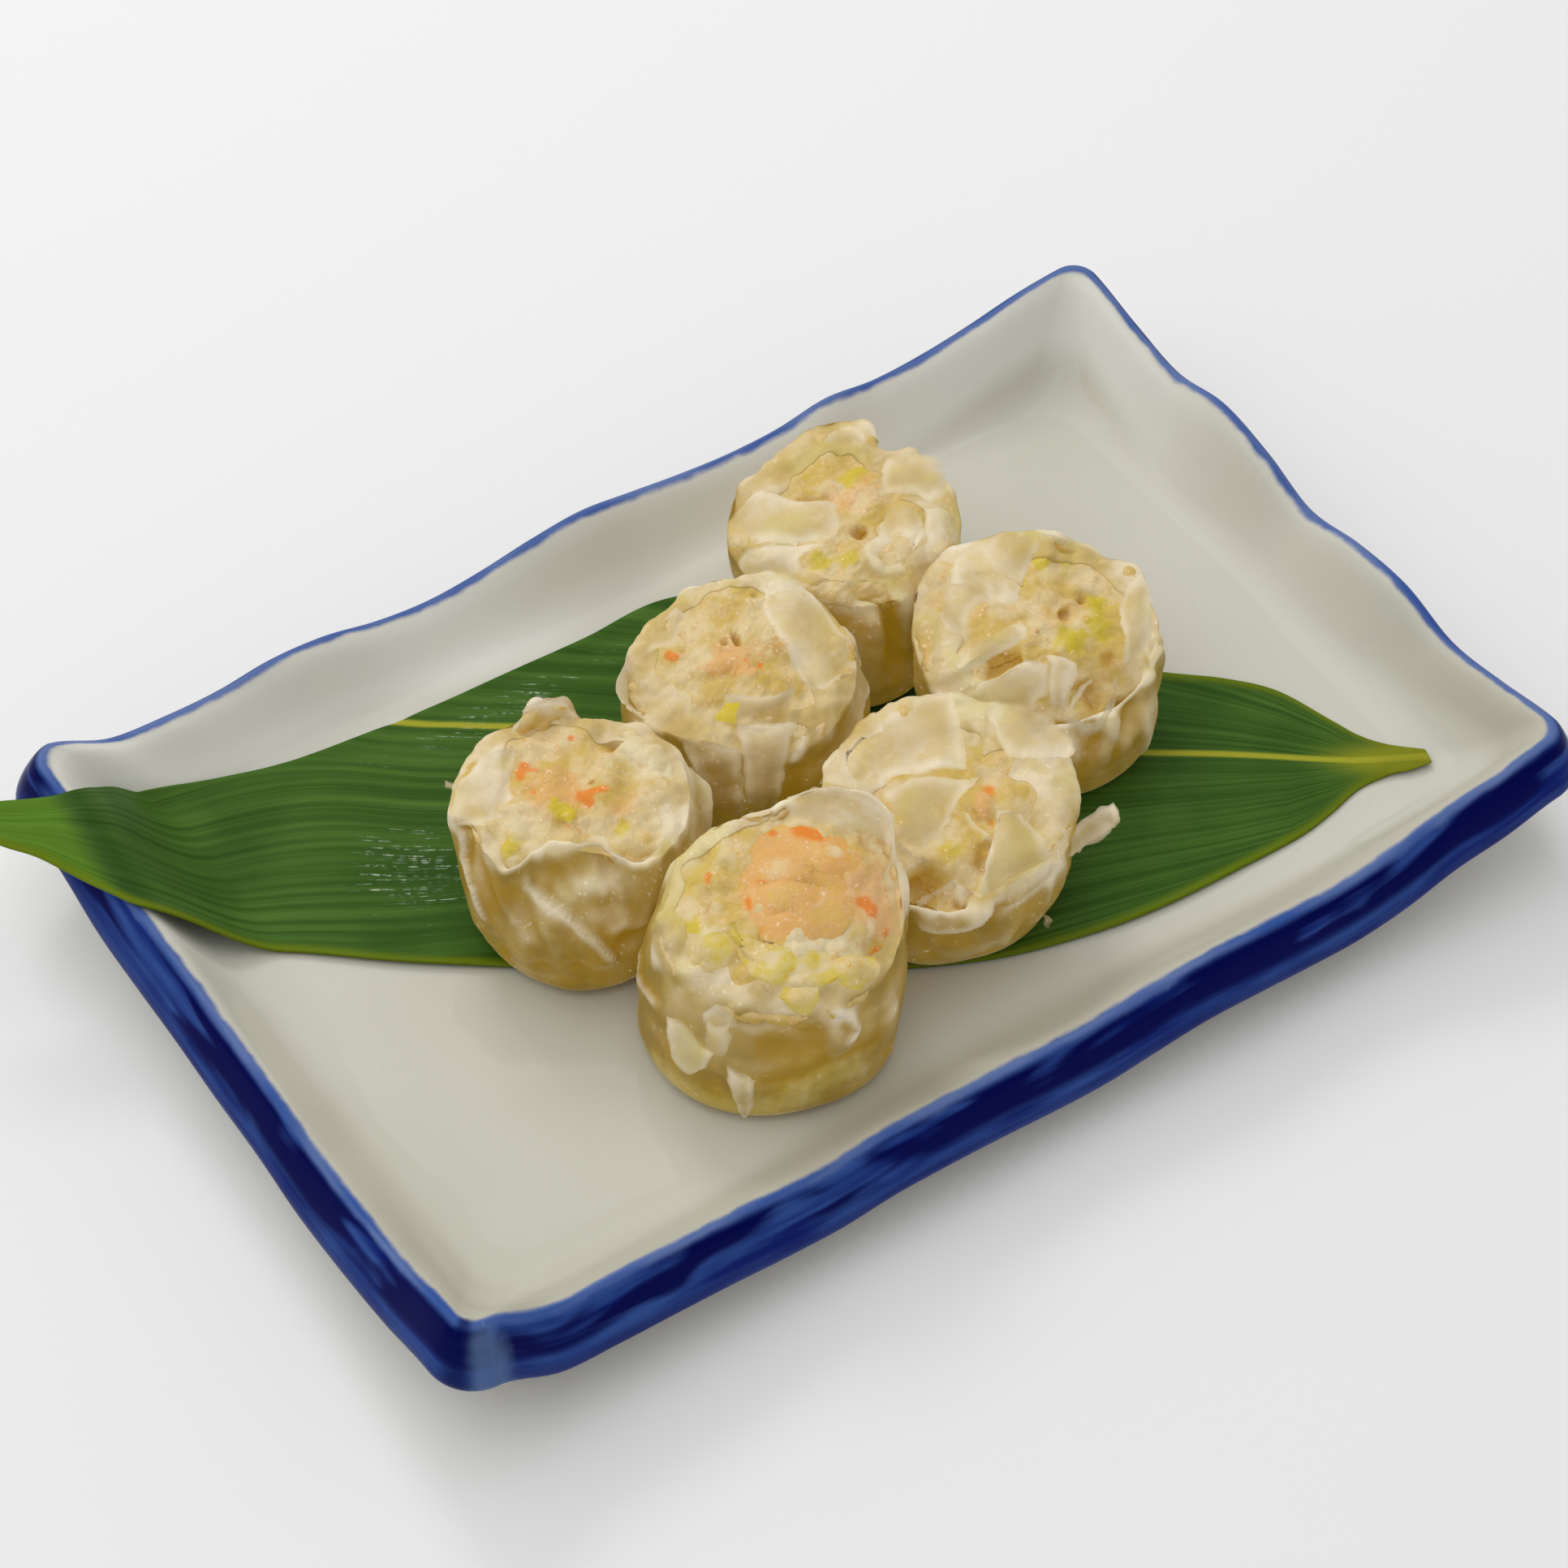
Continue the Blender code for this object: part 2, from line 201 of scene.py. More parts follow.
def quads(rows, columns, closed):
    """The faces of a grid of points, joined to itself along its rows if closed."""
    row, column = np.meshgrid(np.arange(rows - 1), np.arange(columns - (not closed)), indexing="ij")
    here = row * columns + column
    beside = row * columns + (column + 1) % columns
    return np.stack([here, beside, beside + columns, here + columns], axis=-1).reshape(-1, 4)


def closed_faces(rows, columns):
    """The faces of a grid that is joined to itself along its rows and capped at both ends."""
    count = rows * columns
    caps = [tuple(range(columns))[::-1], tuple(range(count - columns, count))]
    return quads(rows, columns, True).tolist() + caps


def normals_of(grid, closed):
    """Unit normals of a grid of points, shape (rows, columns, 3)."""
    down = np.gradient(grid, axis=0)
    if closed:
        along = (np.roll(grid, -1, axis=1) - np.roll(grid, 1, axis=1)) / 2
    else:
        along = np.gradient(grid, axis=1)
    normal = np.cross(along, down)
    length = np.linalg.norm(normal, axis=-1, keepdims=True)
    return normal / np.maximum(length, 1e-12)


def blur(values, times, closed):
    """Averages each point of a grid with its neighbours, a number of times."""
    for _ in range(times):
        for ends in ("wrap" if closed else "edge", "edge"):
            values = values.swapaxes(0, 1)
            padded = np.pad(values, [(1, 1)] + [(0, 0)] * (values.ndim - 1), ends)
            values = (padded[2:] + padded[:-2] + 2 * values) / 4
    return values


def ripple(points, size, seed, octaves):
    """Smooth unevenness in space, about -1 to 1, whose largest waves are size long."""
    chance = np.random.default_rng(seed)
    total = np.zeros(points.shape[:-1])
    share = 1.0
    for _ in range(octaves):
        directions = chance.normal(size=(9, 3))
        directions /= np.linalg.norm(directions, axis=1, keepdims=True)
        lengths = size * chance.uniform(0.75, 1.4, 9)
        starts = chance.uniform(0, 2 * math.pi, 9)
        for direction, length, begin in zip(directions, lengths, starts):
            total += share / 3 * np.sin(points @ direction * (2 * math.pi / length) + begin)
        size /= 2
        share /= 2
    return total


def soften(value):
    value = np.clip(value, 0, 1)
    return value * value * (3 - 2 * value)


def hump(distance, width):
    """1 where the distance is 0, fading to both sides over the width."""
    return np.exp(-((distance / width) ** 2))


def between(p, t):
    """A smooth line through the four values of p, read at t from the second (0) to the third (1)."""
    return 0.5 * (2 * p[1] + (p[2] - p[0]) * t + (2 * p[0] - 5 * p[1] + 4 * p[2] - p[3]) * t**2
                  + (3 * p[1] - p[0] - 3 * p[2] + p[3]) * t**3)


def curve(heights, place):
    """A smooth line through evenly spaced heights, read at places from 0 to 1."""
    heights = np.asarray(heights, float)
    spans = len(heights) - 1
    at = np.clip(place, 0, 1) * spans
    index = np.minimum(at.astype(int), spans - 1)
    return between([heights[np.clip(index + k, 0, spans)] for k in (-1, 0, 1, 2)], at - index)


# Plate

plate_low, plate_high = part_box("plate")
PLATE_X = (plate_low.x + plate_high.x) / 2
PLATE_Y = (plate_low.y + plate_high.y) / 2
CREST_INSET = 5.4 * MM
CREST_X = (plate_high.x - plate_low.x) / 2 - CREST_INSET
CREST_Y = (plate_high.y - plate_low.y) / 2 - CREST_INSET
WELL = 11.0 * MM
UNDERSIDE = 4.8 * MM
CORNER_RADIUS = 3 * MM

# Height of the crest, the top of the walls, at even steps along each side from its left or near end.
NEAR_CREST = [26.0, 20.6, 19.6, 19.2, 18.7, 17.8, 17.3, 18.3, 18.3, 17.8, 17.0, 16.7, 17.6, 18.3, 17.9,
              17.5, 17.4, 19.0, 22.2, 23.8, 26.6]
FAR_CREST = [25.4, 20.4, 19.6, 19.8, 21.2, 20.8, 18.7, 17.9, 19.0, 21.0, 22.3, 21.2, 20.0, 19.5, 20.2,
             22.2, 21.1, 21.7, 23.5, 26.0, 27.4]
LEFT_CREST = [26.0, 22.5, 20.3, 19.5, 20.8, 20.6, 21.0, 20.9, 21.6, 25.0, 25.4]
RIGHT_CREST = [26.6, 24.2, 22.7, 25.2, 24.4, 21.8, 24.8, 26.3, 23.5, 25.0, 27.4]

# Each ring of the plate: outset from the crest, share of the way from the well (or the underside) up to
# the crest, and drop below that.
INNER_RINGS = [(-60, 0, 0.5), (-52, 0, 0.45), (-44, 0, 0.4), (-36, 0, 0.3), (-29, 0, 0.2), (-23, 0, 0.1),
               (-18, 0, 0.02), (-15, 0.004, 0), (-13, 0.015, 0), (-11.4, 0.035, 0), (-10, 0.075, 0),
               (-8.8, 0.14, 0), (-7.6, 0.23, 0), (-6.4, 0.35, 0), (-5.2, 0.49, 0), (-4.1, 0.63, 0),
               (-3.1, 0.76, 0), (-2.2, 0.87, 0), (-1.4, 0.945, 0), (-0.7, 0.985, 0.05), (-0.2, 1, 0.02)]
EDGE_RINGS = [(0.3, 1, 0.06), (0.8, 1, 0.35), (1.3, 1, 0.9), (1.75, 1, 1.6), (2.2, 1, 2.4), (2.7, 1, 3.3),
              (3.2, 1, 4.3), (3.7, 1, 5.4), (4.15, 1, 6.5), (4.5, 1, 7.5), (4.72, 1, 8.4), (4.7, 1, 9.3),
              (4.4, 1, 10.1), (3.8, 1, 10.8), (2.8, 1, 11.4)]
LOWER_RINGS = [(0.8, 0.72, 8.6), (-2, 0.5, 6.1), (-5, 0.28, 3.5), (-8, 0.11, 1.4), (-11, 0.02, 0.25),
               (-15, 0, 0), (-21.2, 0, 0), (-22, 0, 0.6), (-22.4, 0, 4.1), (-23, 0, 4.8), (-26.6, 0, 4.8),
               (-27.2, 0, 4.2), (-27.6, 0, 1.6), (-28.6, 0, 1.1), (-40, 0, 1.0), (-60, 0, 1.0)]


def rounded_outline(outset):
    """(x, y, side, place along that side) of a rounded rectangle round the crest's middle."""
    half_x, half_y = CREST_X + outset, CREST_Y + outset
    radius = min(CORNER_RADIUS + (outset if outset > 0 else -0.4 * outset), 0.8 * half_y)
    corner = np.linspace(0, math.pi / 2, 13)[1:-1]
    found = []
    for turn in range(4):
        reach, side, steps = (half_x, half_y, 130) if turn % 2 == 0 else (half_y, half_x, 84)
        along = np.linspace(-1, 1, steps)
        x = np.concatenate([along * (reach - radius), reach - radius + radius * np.sin(corner)])
        y = np.concatenate([np.full(steps, -side), -side + radius * (1 - np.cos(corner))])
        share = np.concatenate([0.5 + 0.5 * along, np.ones(len(corner))])
        cos, sin = math.cos(turn * math.pi / 2), math.sin(turn * math.pi / 2)
        turned_x, turned_y = cos * x - sin * y, sin * x + cos * y
        found.append(np.stack([turned_x, turned_y, np.full(len(x), turn), share], axis=1))
    return np.concatenate(found)


def plate_ring(outset, share, drop, level):
    outline = rounded_outline(outset * MM)
    crest = np.zeros(len(outline))
    for turn, heights in enumerate((NEAR_CREST, RIGHT_CREST, FAR_CREST[::-1], LEFT_CREST[::-1])):
        here = outline[:, 2] == turn
        crest[here] = curve(heights, outline[here, 3])
    height = level + share * (crest * MM - level) - drop * MM
    return np.column_stack([outline[:, 0] + PLATE_X, outline[:, 1] + PLATE_Y, height])


def plate_finish():
    """Grey-green glaze, its far inner walls painted paler as painted reflection and its near inner wall
    painted darker as painted shade. The edge face is brushed with cobalt, in dark pools over a paler wash,
    with painted highlight along its crest and a painted blue glow.
    """
    glaze = Finish("plate_glaze", Coat_Roughness=0.08, Specular_IOR_Level=0.02, Emission_Strength=1.0)
    across, along, seam = map(glaze.attribute, ("across", "along", "seam"))
    far = glaze.node("ShaderNodeSeparateXYZ", None, {"Vector": glaze.place}, "Y")
    wall = across.fade(-19.0, -11.0) * across.fade(0.0, -3.0)
    body = glaze.paint(
        srgb(203, 201, 187),
        (glaze.noise(60 * MM, 4).fade(0.3, 0.7), srgb(210, 208, 196)),
        (glaze.noise(0.9 * MM, 2).fade(0.70, 0.78) * 0.25, srgb(168, 160, 140)),
        # Painted reflection: the far inner walls are painted paler.
        (wall * far.fade(5 * MM, 50 * MM) * 0.75, srgb(236, 236, 228)),
        # Painted shade: the near inner wall is painted darker.
        (across.fade(-15.0, -8.0) * far.fade(-20 * MM, -48 * MM) * 0.6, srgb(182, 178, 160)),
    )
    blot = glaze.noise(1.0, 2, glaze.place_from(along / (26 * MM), across / 7.0), 0.35)
    fine = glaze.noise(1.0, 5, glaze.place_from(along / (60 * MM), across / 1.4), 0.3)
    broad = glaze.noise(1.0, 2, glaze.place_from(along / (22 * MM), across / 5.0))
    ragged = glaze.noise(5 * MM, 3) - 0.5
    start = across + ragged * 1.6 + (fine - 0.5) * 0.8
    pool = across.fade(0.6, 2.0) * across.fade(8.6, 6.0)
    bare = (seam + ragged * 2.0).fade(0.2, 1.8) * (seam + ragged * 4.0).fade(6.0, 2.4) * across.fade(0.0, 2.5)
    blue = glaze.paint(
        srgb(52, 84, 148),
        ((fine * 0.5 + broad).fade(0.55, 0.95), srgb(8, 30, 100)),
        # Pale line along the crest: a paler wash of the cobalt, with painted highlight where the crest
        # catches the light.
        (start.fade(1.9, 0.5) * (fine * 0.6 + broad).fade(0.55, 0.95) * 0.6, srgb(124, 148, 194)),
        ((blot + (fine - 0.5) * 0.12).fade(0.4, 0.52) * pool, srgb(0, 2, 58)),
        (across.fade(7.6, 10.0) * 0.6, srgb(32, 42, 92)),
        (bare * 0.5, srgb(108, 136, 172)),
        (seam.size().fade(1.5, 0.2) * 0.75, srgb(2, 8, 56)),
    )
    painted = start.fade(-1.3, -0.1) * (1 - across.fade(12.0, 13.5))
    return glaze.show(
        Base_Color=glaze.paint(body, (painted, blue)),
        Roughness=glaze.noise(9 * MM, 3) * 0.12 + 0.14,
        Coat_Weight=(1 - painted) * (1 - wall * 0.6) * 0.55 + 0.05,
        # Painted glow: the cobalt gives off a little blue light of its own, though it is no lamp.
        Emission_Color=glaze.paint(BLACK, (painted, srgb(0, 2, 42))),
        Normal=glaze.bump(glaze.noise(7 * MM, 2) * 0.8 + glaze.noise(1.2 * MM, 2) * 0.1, 0.25 * MM, 0.5),
    )


def make_plate():
    upper = [plate_ring(*sizes, WELL) for sizes in INNER_RINGS + EDGE_RINGS]
    lower = [plate_ring(*sizes, UNDERSIDE) for sizes in LOWER_RINGS]
    grid = np.stack(upper + lower)
    grid[:, :, 2] += 0.16 * MM * ripple(grid, 46 * MM, 5, 2) * (grid[:, :, 2] > 6 * MM)
    rows, columns = grid.shape[:2]
    crest_row = len(INNER_RINGS) - 1
    steps = np.linalg.norm(np.diff(grid, axis=0), axis=2)
    distance = np.concatenate([np.zeros((1, columns)), np.cumsum(steps, axis=0)])
    crest_steps = np.linalg.norm(np.diff(grid[crest_row], axis=0), axis=1)
    along = np.concatenate([[0], np.cumsum(crest_steps)])
    seam = np.where(along < along[-1] / 2, along, along - along[-1]) / MM + 2.4
    attributes = {
        "across": ((distance - distance[crest_row]) / MM).ravel(),
        "along": np.tile(along, rows),
        "seam": np.tile(seam, rows),
    }
    points, faces = grid.reshape(-1, 3), closed_faces(rows, columns)
    add_piece("plate_glazed", points, faces, plate_finish(), "plate", attributes)


# Leaf

# The blade's two long edges, from the stalk to the tip, from the plate's middle.
LOWER_EDGE = [(88.0, -48.4), (84.5, -47.4), (81.3, -46.1), (75.7, -45.6), (68.9, -47.1), (61.6, -48.2),
              (50.2, -48.2), (35.5, -47.7), (22.1, -45.8), (6.9, -41.6), (-8, -34.4), (-24, -25),
              (-40, -14.4), (-55.4, -2.9), (-68.6, 6.9), (-80.8, 16.9), (-91.2, 23.6), (-99.2, 29.6),
              (-103.2, 35.8), (-108.6, 44.1), (-113.3, 49.0), (-118.8, 57.6)]
UPPER_EDGE = [(88.7, -45.9), (85.2, -41.4), (82.7, -36.9), (81.0, -32), (77.6, -22.6), (72, -16),
              (63.1, -8.2), (54, 3), (44, 16), (34, 29), (22, 40), (5.5, 47.4), (-10, 47.3), (-23.8, 47.7),
              (-37.3, 48), (-50.2, 48.9), (-63, 50.3), (-74, 52.9), (-84, 55.2), (-90, 55.2),
              (-95.5, 52.7), (-101, 52.4), (-109.3, 55.8), (-118.8, 60.2)]
STALK = np.array([87.8, -47.1])
MIDRIB = np.array([-0.811, 0.585])
ACROSS_MIDRIB = np.array([-0.585, -0.811])
# Half widths of the blade as it grew, below and above the midrib, at distances from the stalk's end.
GROWN_AT = [0, 6, 11, 15, 22, 30, 54, 82, 120, 160, 260]
GROWN_BELOW = [1.3, 2.2, 5.8, 11, 17.5, 23, 37, 45, 48.5, 48.5, 48]
GROWN_ABOVE = [1.2, 1.9, 5.6, 9.2, 14, 16.6, 24, 32, 40, 44, 44]
# Middle (x, y), half length and half width of each wet patch.
WET_PATCHES = [(-58, 22, 13, 15), (-30, 42, 26, 5)]
LEAF_THICKNESS = 0.42 * MM
LEAF_CLEARANCE = 0.25 * MM
CREST_CLEARANCE = 0.35 * MM


def surface_below(grid):
    """Height of the plate under each point of a grid, or 0 beyond its edge."""
    x, y = grid[..., 0] - PLATE_X, grid[..., 1] - PLATE_Y
    inside_x, inside_y = CREST_X - abs(x), CREST_Y - abs(y)
    depth = np.minimum(inside_x, inside_y)
    share_x = np.clip(x / (CREST_X - depth) * 0.5 + 0.5, 0, 1)
    share_y = np.clip(y / (CREST_Y - depth) * 0.5 + 0.5, 0, 1)
    side = np.where(x < 0, curve(LEFT_CREST, share_y), curve(RIGHT_CREST, share_y))
    crest = np.where(inside_x < inside_y, side, curve(FAR_CREST, share_x)) * MM
    outsets, shares, _ = zip(*INNER_RINGS)
    return WELL + np.interp(-depth / MM, outsets, shares) * (crest - WELL)


def leaf_finish():
    """Waxy green with fine long veins, a pale midrib, yellow-green rims and wet streaks. The blade is painted
    brighter beyond the plate's rim as painted light, and darker in a band of painted shade where it crosses
    the crest. It has painted glints in the wet streaks.
    """
    leaf = Finish("bamboo_leaf", Coat_Roughness=0.2, Specular_IOR_Level=0.12, Emission_Strength=1.0)
    vein, along, rim, midrib = map(leaf.attribute, ("vein", "along", "rim", "midrib"))
    stalk, lit_beyond_rim, shade, wet = map(leaf.attribute, ("stalk", "lit_beyond_rim", "shade", "wet"))
    broad = leaf.noise(1.0, 2, leaf.place_from(along / (90 * MM), vein * 46))
    narrow = leaf.noise(1.0, 2, leaf.place_from(along / (60 * MM), vein * 170))
    streaks = leaf.noise(1.0, 3, leaf.place_from(along / (9 * MM), vein * 210))
    patch = leaf.noise(26 * MM, 3)
    rib = midrib.size().fade(0.95, 0.3)
    bright = leaf.paint(srgb(74, 116, 16), (broad.fade(0.3, 0.7), srgb(96, 136, 34)))
    green = leaf.paint(
        srgb(48, 82, 18),
        (broad.fade(0.3, 0.7), srgb(76, 112, 40)),
        (narrow.fade(0.5, 0.8) * 0.4, srgb(92, 132, 42)),
        (patch.fade(0.42, 0.7) * 0.4, srgb(26, 62, 2)),
        # Painted light: beyond the plate's rim the blade is painted brighter green.
        (lit_beyond_rim * 0.85, bright),
        (shade * 0.45, srgb(22, 54, 6)),
        ((rim + (broad - 0.5) * 1.6).fade(2.2, 0.1) * 0.8, srgb(108, 124, 0)),
        ((stalk + (patch - 0.5) * 0.3).fade(0.1, 0.9) * 0.85, srgb(148, 152, 30)),
        (rib * 0.9, srgb(170, 168, 46)),
    )
    ridges = (vein * 820).wave() * 0.16 + (vein * 260).wave() * 0.3 + broad * 1.0 + narrow * 0.8
    film = (wet * 0.32 + streaks + (patch - 0.5) * 0.2).fade(0.8, 0.98)
    # Painted highlights: small glints in the wet streaks, given off as light.
    glint = (film * leaf.noise(1.1 * MM, 2).fade(0.42, 0.62)).at_most(1.0)
    return leaf.show(
        Base_Color=green,
        Emission_Color=leaf.paint(BLACK, (glint * 0.5, srgb(206, 214, 196))),
        Roughness=0.5 + (patch - 0.5) * 0.2,
        Coat_Weight=film * 0.4,
        Normal=leaf.bump(ridges * 0.22 + rib * 0.9 + film * 0.5, 0.35 * MM, 0.7),
    )


def leaf_edge(edge, columns):
    place = np.linspace(0, 1, columns)
    return np.stack([curve([point[k] for point in edge], place) for k in (0, 1)], axis=1)


def leaf_heights(grid, x, y, rim, from_stalk, to_side):
    """The blade lies on the well, bridges up to the plate's left wall and curls past it."""
    lift = soften((-82 - x) / 18)
    crest = curve(LEFT_CREST, y * MM / CREST_Y * 0.5 + 0.5) * MM
    bridge = WELL + (crest + CREST_CLEARANCE - WELL) * lift
    height = np.maximum(surface_below(grid), bridge) + LEAF_CLEARANCE
    beyond = np.clip(-102 - x, 0, None)
    curl = beyond * 0.004 * MM * beyond
    cupping = 0.5 * MM * soften((from_stalk - 8) / 30) * soften((3.5 - rim) / 3.5)
    waviness = 0.25 * MM * (1 + ripple(grid, 34 * MM, 11, 2)) * soften(rim / 6)
    groove = 0.35 * MM * hump(to_side, 1.2) * soften(from_stalk / 20)
    stalk = 1.2 * MM * soften((12 - from_stalk) / 12) * hump(to_side, 5)
    return height + curl + cupping + waviness - groove + stalk


def make_leaf():
    rows, columns = 90, 300
    share = np.linspace(0, 1, rows)[:, None, None]
    flat = leaf_edge(LOWER_EDGE, columns)[None] * (1 - share) + leaf_edge(UPPER_EDGE, columns)[None] * share
    x, y = flat[..., 0], flat[..., 1]
    from_stalk = (flat - STALK) @ MIDRIB
    to_side = (flat - STALK) @ ACROSS_MIDRIB
    from_low = np.linalg.norm(np.diff(flat, axis=0), axis=2).cumsum(axis=0)
    from_low = np.concatenate([np.zeros((1, columns)), from_low])
    from_high = from_low[-1:] - from_low
    grid = np.stack([x * MM + PLATE_X, y * MM + PLATE_Y, np.zeros_like(x)], axis=-1)
    grid[..., 2] = leaf_heights(grid, x, y, np.minimum(from_low, from_high), from_stalk, to_side)

    grown = [np.interp(from_stalk, GROWN_AT, widths) for widths in (GROWN_BELOW, GROWN_ABOVE)]
    vein = to_side / np.where(to_side < 0, *grown) * 0.5
    narrowing = soften((-45 - x) / 45)
    attributes = {
        "vein": vein * (1 - narrowing) + np.linspace(0.5, 0.1, rows)[:, None] * narrowing,
        "along": from_stalk * MM,
        "rim": np.minimum(from_low, np.where(from_stalk < 70, from_high, 50)),
        "midrib": to_side,
        "stalk": soften((26 - from_stalk) / 24) * (0.35 + 0.65 * soften((5 - abs(to_side)) / 5)),
        # Masks for the painted light beyond the rim and the painted shade over the crest.
        "lit_beyond_rim": soften((-100 - x) / 4),
        "shade": hump(x + 99, 2.2),
        "wet": sum(
            hump(np.hypot((x - at_x) / long, (y - at_y) / wide), 1) for at_x, at_y, long, wide in WET_PATCHES
        ),
    }
    doubled = {key: np.tile(values.ravel(), 2) for key, values in attributes.items()}

    cross = normals_of(grid, False)
    cross *= np.sign(cross[..., 2:3])
    half = cross * LEAF_THICKNESS / 2
    points = np.concatenate([(grid + half).reshape(-1, 3), (grid - half).reshape(-1, 3)])
    number = np.arange(rows * columns).reshape(rows, columns)
    border = np.concatenate([number[0], number[1:-1, -1], number[-1, ::-1], number[-2:0:-1, 0]])
    ahead = np.roll(border, -1)
    wall = np.stack([border, ahead, ahead + number.size, border + number.size], axis=1)
    faces = quads(rows, columns, False)
    faces = np.concatenate([faces[:, ::-1], faces + number.size, wall])
    add_piece("leaf_blade", points, faces, leaf_finish(), "leaf", doubled)


# Dumplings

# Of these tints, the one for creases is painted shade, and the one for pale edges of slim dough also carries
# painted highlight on ridges and crests.
TINTS = ("thin", "deep", "pink", "orange", "green", "white")
COLUMNS = 240
ANGLES = np.arange(COLUMNS) * 360 / COLUMNS
# The rows of a wrapper: foot, wall up to the mouth, then the mouth's inside or the part folded over.
FOOT_ROWS = 7
WALL_ROWS = 66
MOUTH_ROW = FOOT_ROWS + WALL_ROWS - 1
LAID_ROWS = 12
# The rows of a filling, the row at the edge of its top, and how close the rows lie inside that.
FILLING_ROWS = 84
FILLING_EDGE = 41.5
ROWS_PER_MM = 2.8
WALL_RADIUS = 18
WRINKLE_DEPTH = 0.3
PLEAT_DEPTH = 1.35
# How far a folded-in lip stands off the filling and how white its edge is, unless a dumpling says so.
LIP_RISE = 0.12
LIP_WHITE = 0.22
# Spacing of the points of a loose sheet.
SHEET_CELL = 0.42
# A dumpling's own axes, as rows, in the shared frame.
DUMPLING_AXES = np.array([[0.803, -0.596, 0], [0.596, 0.803, 0], [0, 0, 1]])


def ring(keys):
    """A closed curve given by keys (angle, value, ...), read at each of ANGLES without overshoot."""
    keys = sorted((key[0] % 360, *key[1:]) for key in keys)
    at = np.array([key[0] for key in keys], float)
    values = np.array([key[1:] for key in keys], float)
    at = np.concatenate([at - 360, at, at + 360])
    values = np.concatenate([values, values, values])
    slope = np.diff(values, axis=0) / np.diff(at)[:, None]
    product = slope[1:] * slope[:-1]
    total = slope[1:] + slope[:-1]
    tangent = np.where(product > 0, 2 * product / np.where(product > 0, total, 1), 0)
    index = np.searchsorted(at, ANGLES, "right") - 1
    gap = (at[index + 1] - at[index])[:, None]
    t = (ANGLES[:, None] - at[index][:, None]) / gap
    first, last = values[index], values[index + 1]
    return (first * (1 + 2 * t) * (1 - t) ** 2 + last * t * t * (3 - 2 * t)
            + gap * (tangent[index - 1] * t * (1 - t) ** 2 - tangent[index] * t * t * (1 - t)))


def spread(net, steps):
    """A smooth, finer grid through the rows of a net of points, along its first axis."""
    spans = len(net) - 1
    at = np.linspace(0, spans, steps)
    index = np.minimum(at.astype(int), spans - 1)
    ends = np.concatenate([[2 * net[0] - net[1]], net, [2 * net[-1] - net[-2]]])
    return between([ends[index + k] for k in (0, 1, 2, 3)], (at - index).reshape(-1, *[1] * (net.ndim - 1)))


def polar(radius, height):
    turn = np.radians(ANGLES)
    return np.stack([radius * np.cos(turn), radius * np.sin(turn), height * np.ones_like(turn)], axis=-1)


def along_line(points, normals, line):
    """For each point: distance to a line of points, which side of it, and a fade at its ends."""
    line = np.array(line, float).reshape(-1, 3)
    nearest = np.full(len(points), 1e9)
    side = np.ones(len(points))
    place = np.zeros(len(points))
    steps = np.linalg.norm(np.diff(line, axis=0), axis=1)
    starts = np.concatenate([[0], np.cumsum(steps)])
    for start, end, step, begin in zip(line[:-1], line[1:], steps, starts):
        run = (end - start) / step
        t = np.clip((points - start) @ run, 0, step)
        offset = points - start - t[:, None] * run
        distance = np.linalg.norm(offset, axis=1)
        closer = distance < nearest
        nearest[closer] = distance[closer]
        leftward = np.einsum("ij,ij->i", np.cross(normals, run), offset)
        side[closer] = np.sign(leftward[closer])
        place[closer] = begin + t[closer]
    length = starts[-1]
    taper = min(2.5, length / 3)
    return nearest, side, soften(np.minimum(place, length - place) / taper + 0.15)


def shape_grid(grid, marks, closed):
    """Raises, presses and tints a grid along its marks. Gives the grid and its tints.

    A layer is a laid edge that drops off to one side of its line, a ridge (or with a negative amount a
    furrow) is the same on both sides, a chunk is flat-topped, and a spot only tints.
    """
    normals = blur(normals_of(grid, closed), 3, closed).reshape(-1, 3)
    points = grid.reshape(-1, 3)
    lift = np.zeros(len(points))
    tints = {name: np.zeros(len(points)) for name in TINTS}
    ragged = ripple(points, 2.6, 3, 3)
    for kind, width, amount, line in marks:
        form, *tint = kind.split()
        distance, side, fade = along_line(points, normals, line)
        if form in ("chunk", "spot"):
            distance = np.maximum(distance + ragged * 0.18 * width, 0)
        if form == "layer":
            signed = distance * side
            body = soften(signed / 0.5 + 0.7) * hump(np.maximum(signed, 0), width) * fade
            lift += amount * body
            tints["thin"] += hump(signed - 0.5, 0.9) * fade * 0.6
            # Painted shade below the laid edge, on the side it drops off to.
            tints["deep"] += hump(signed + 0.9, 0.9) * fade * 0.6
            continue
        body = soften((width - distance) / 1.1 + 0.5) if form == "chunk" else hump(distance, width) * fade
        if form == "spot":
            tints[tint[0]] += amount * body
            continue
        lift += amount * body
        if tint:
            tints[tint[0]] += body
        elif amount > 0 and width < 2.2:
            # Narrow raised ridges are whitened: slim dough, with painted highlight on their tops.
            tints["thin"] += body * min(amount, 1) * 0.45
        elif amount < 0:
            # Painted shade along a furrow.
            tints["deep"] += body * min(-amount, 1) * 0.7
    return (points + normals * lift[:, None]).reshape(grid.shape), tints


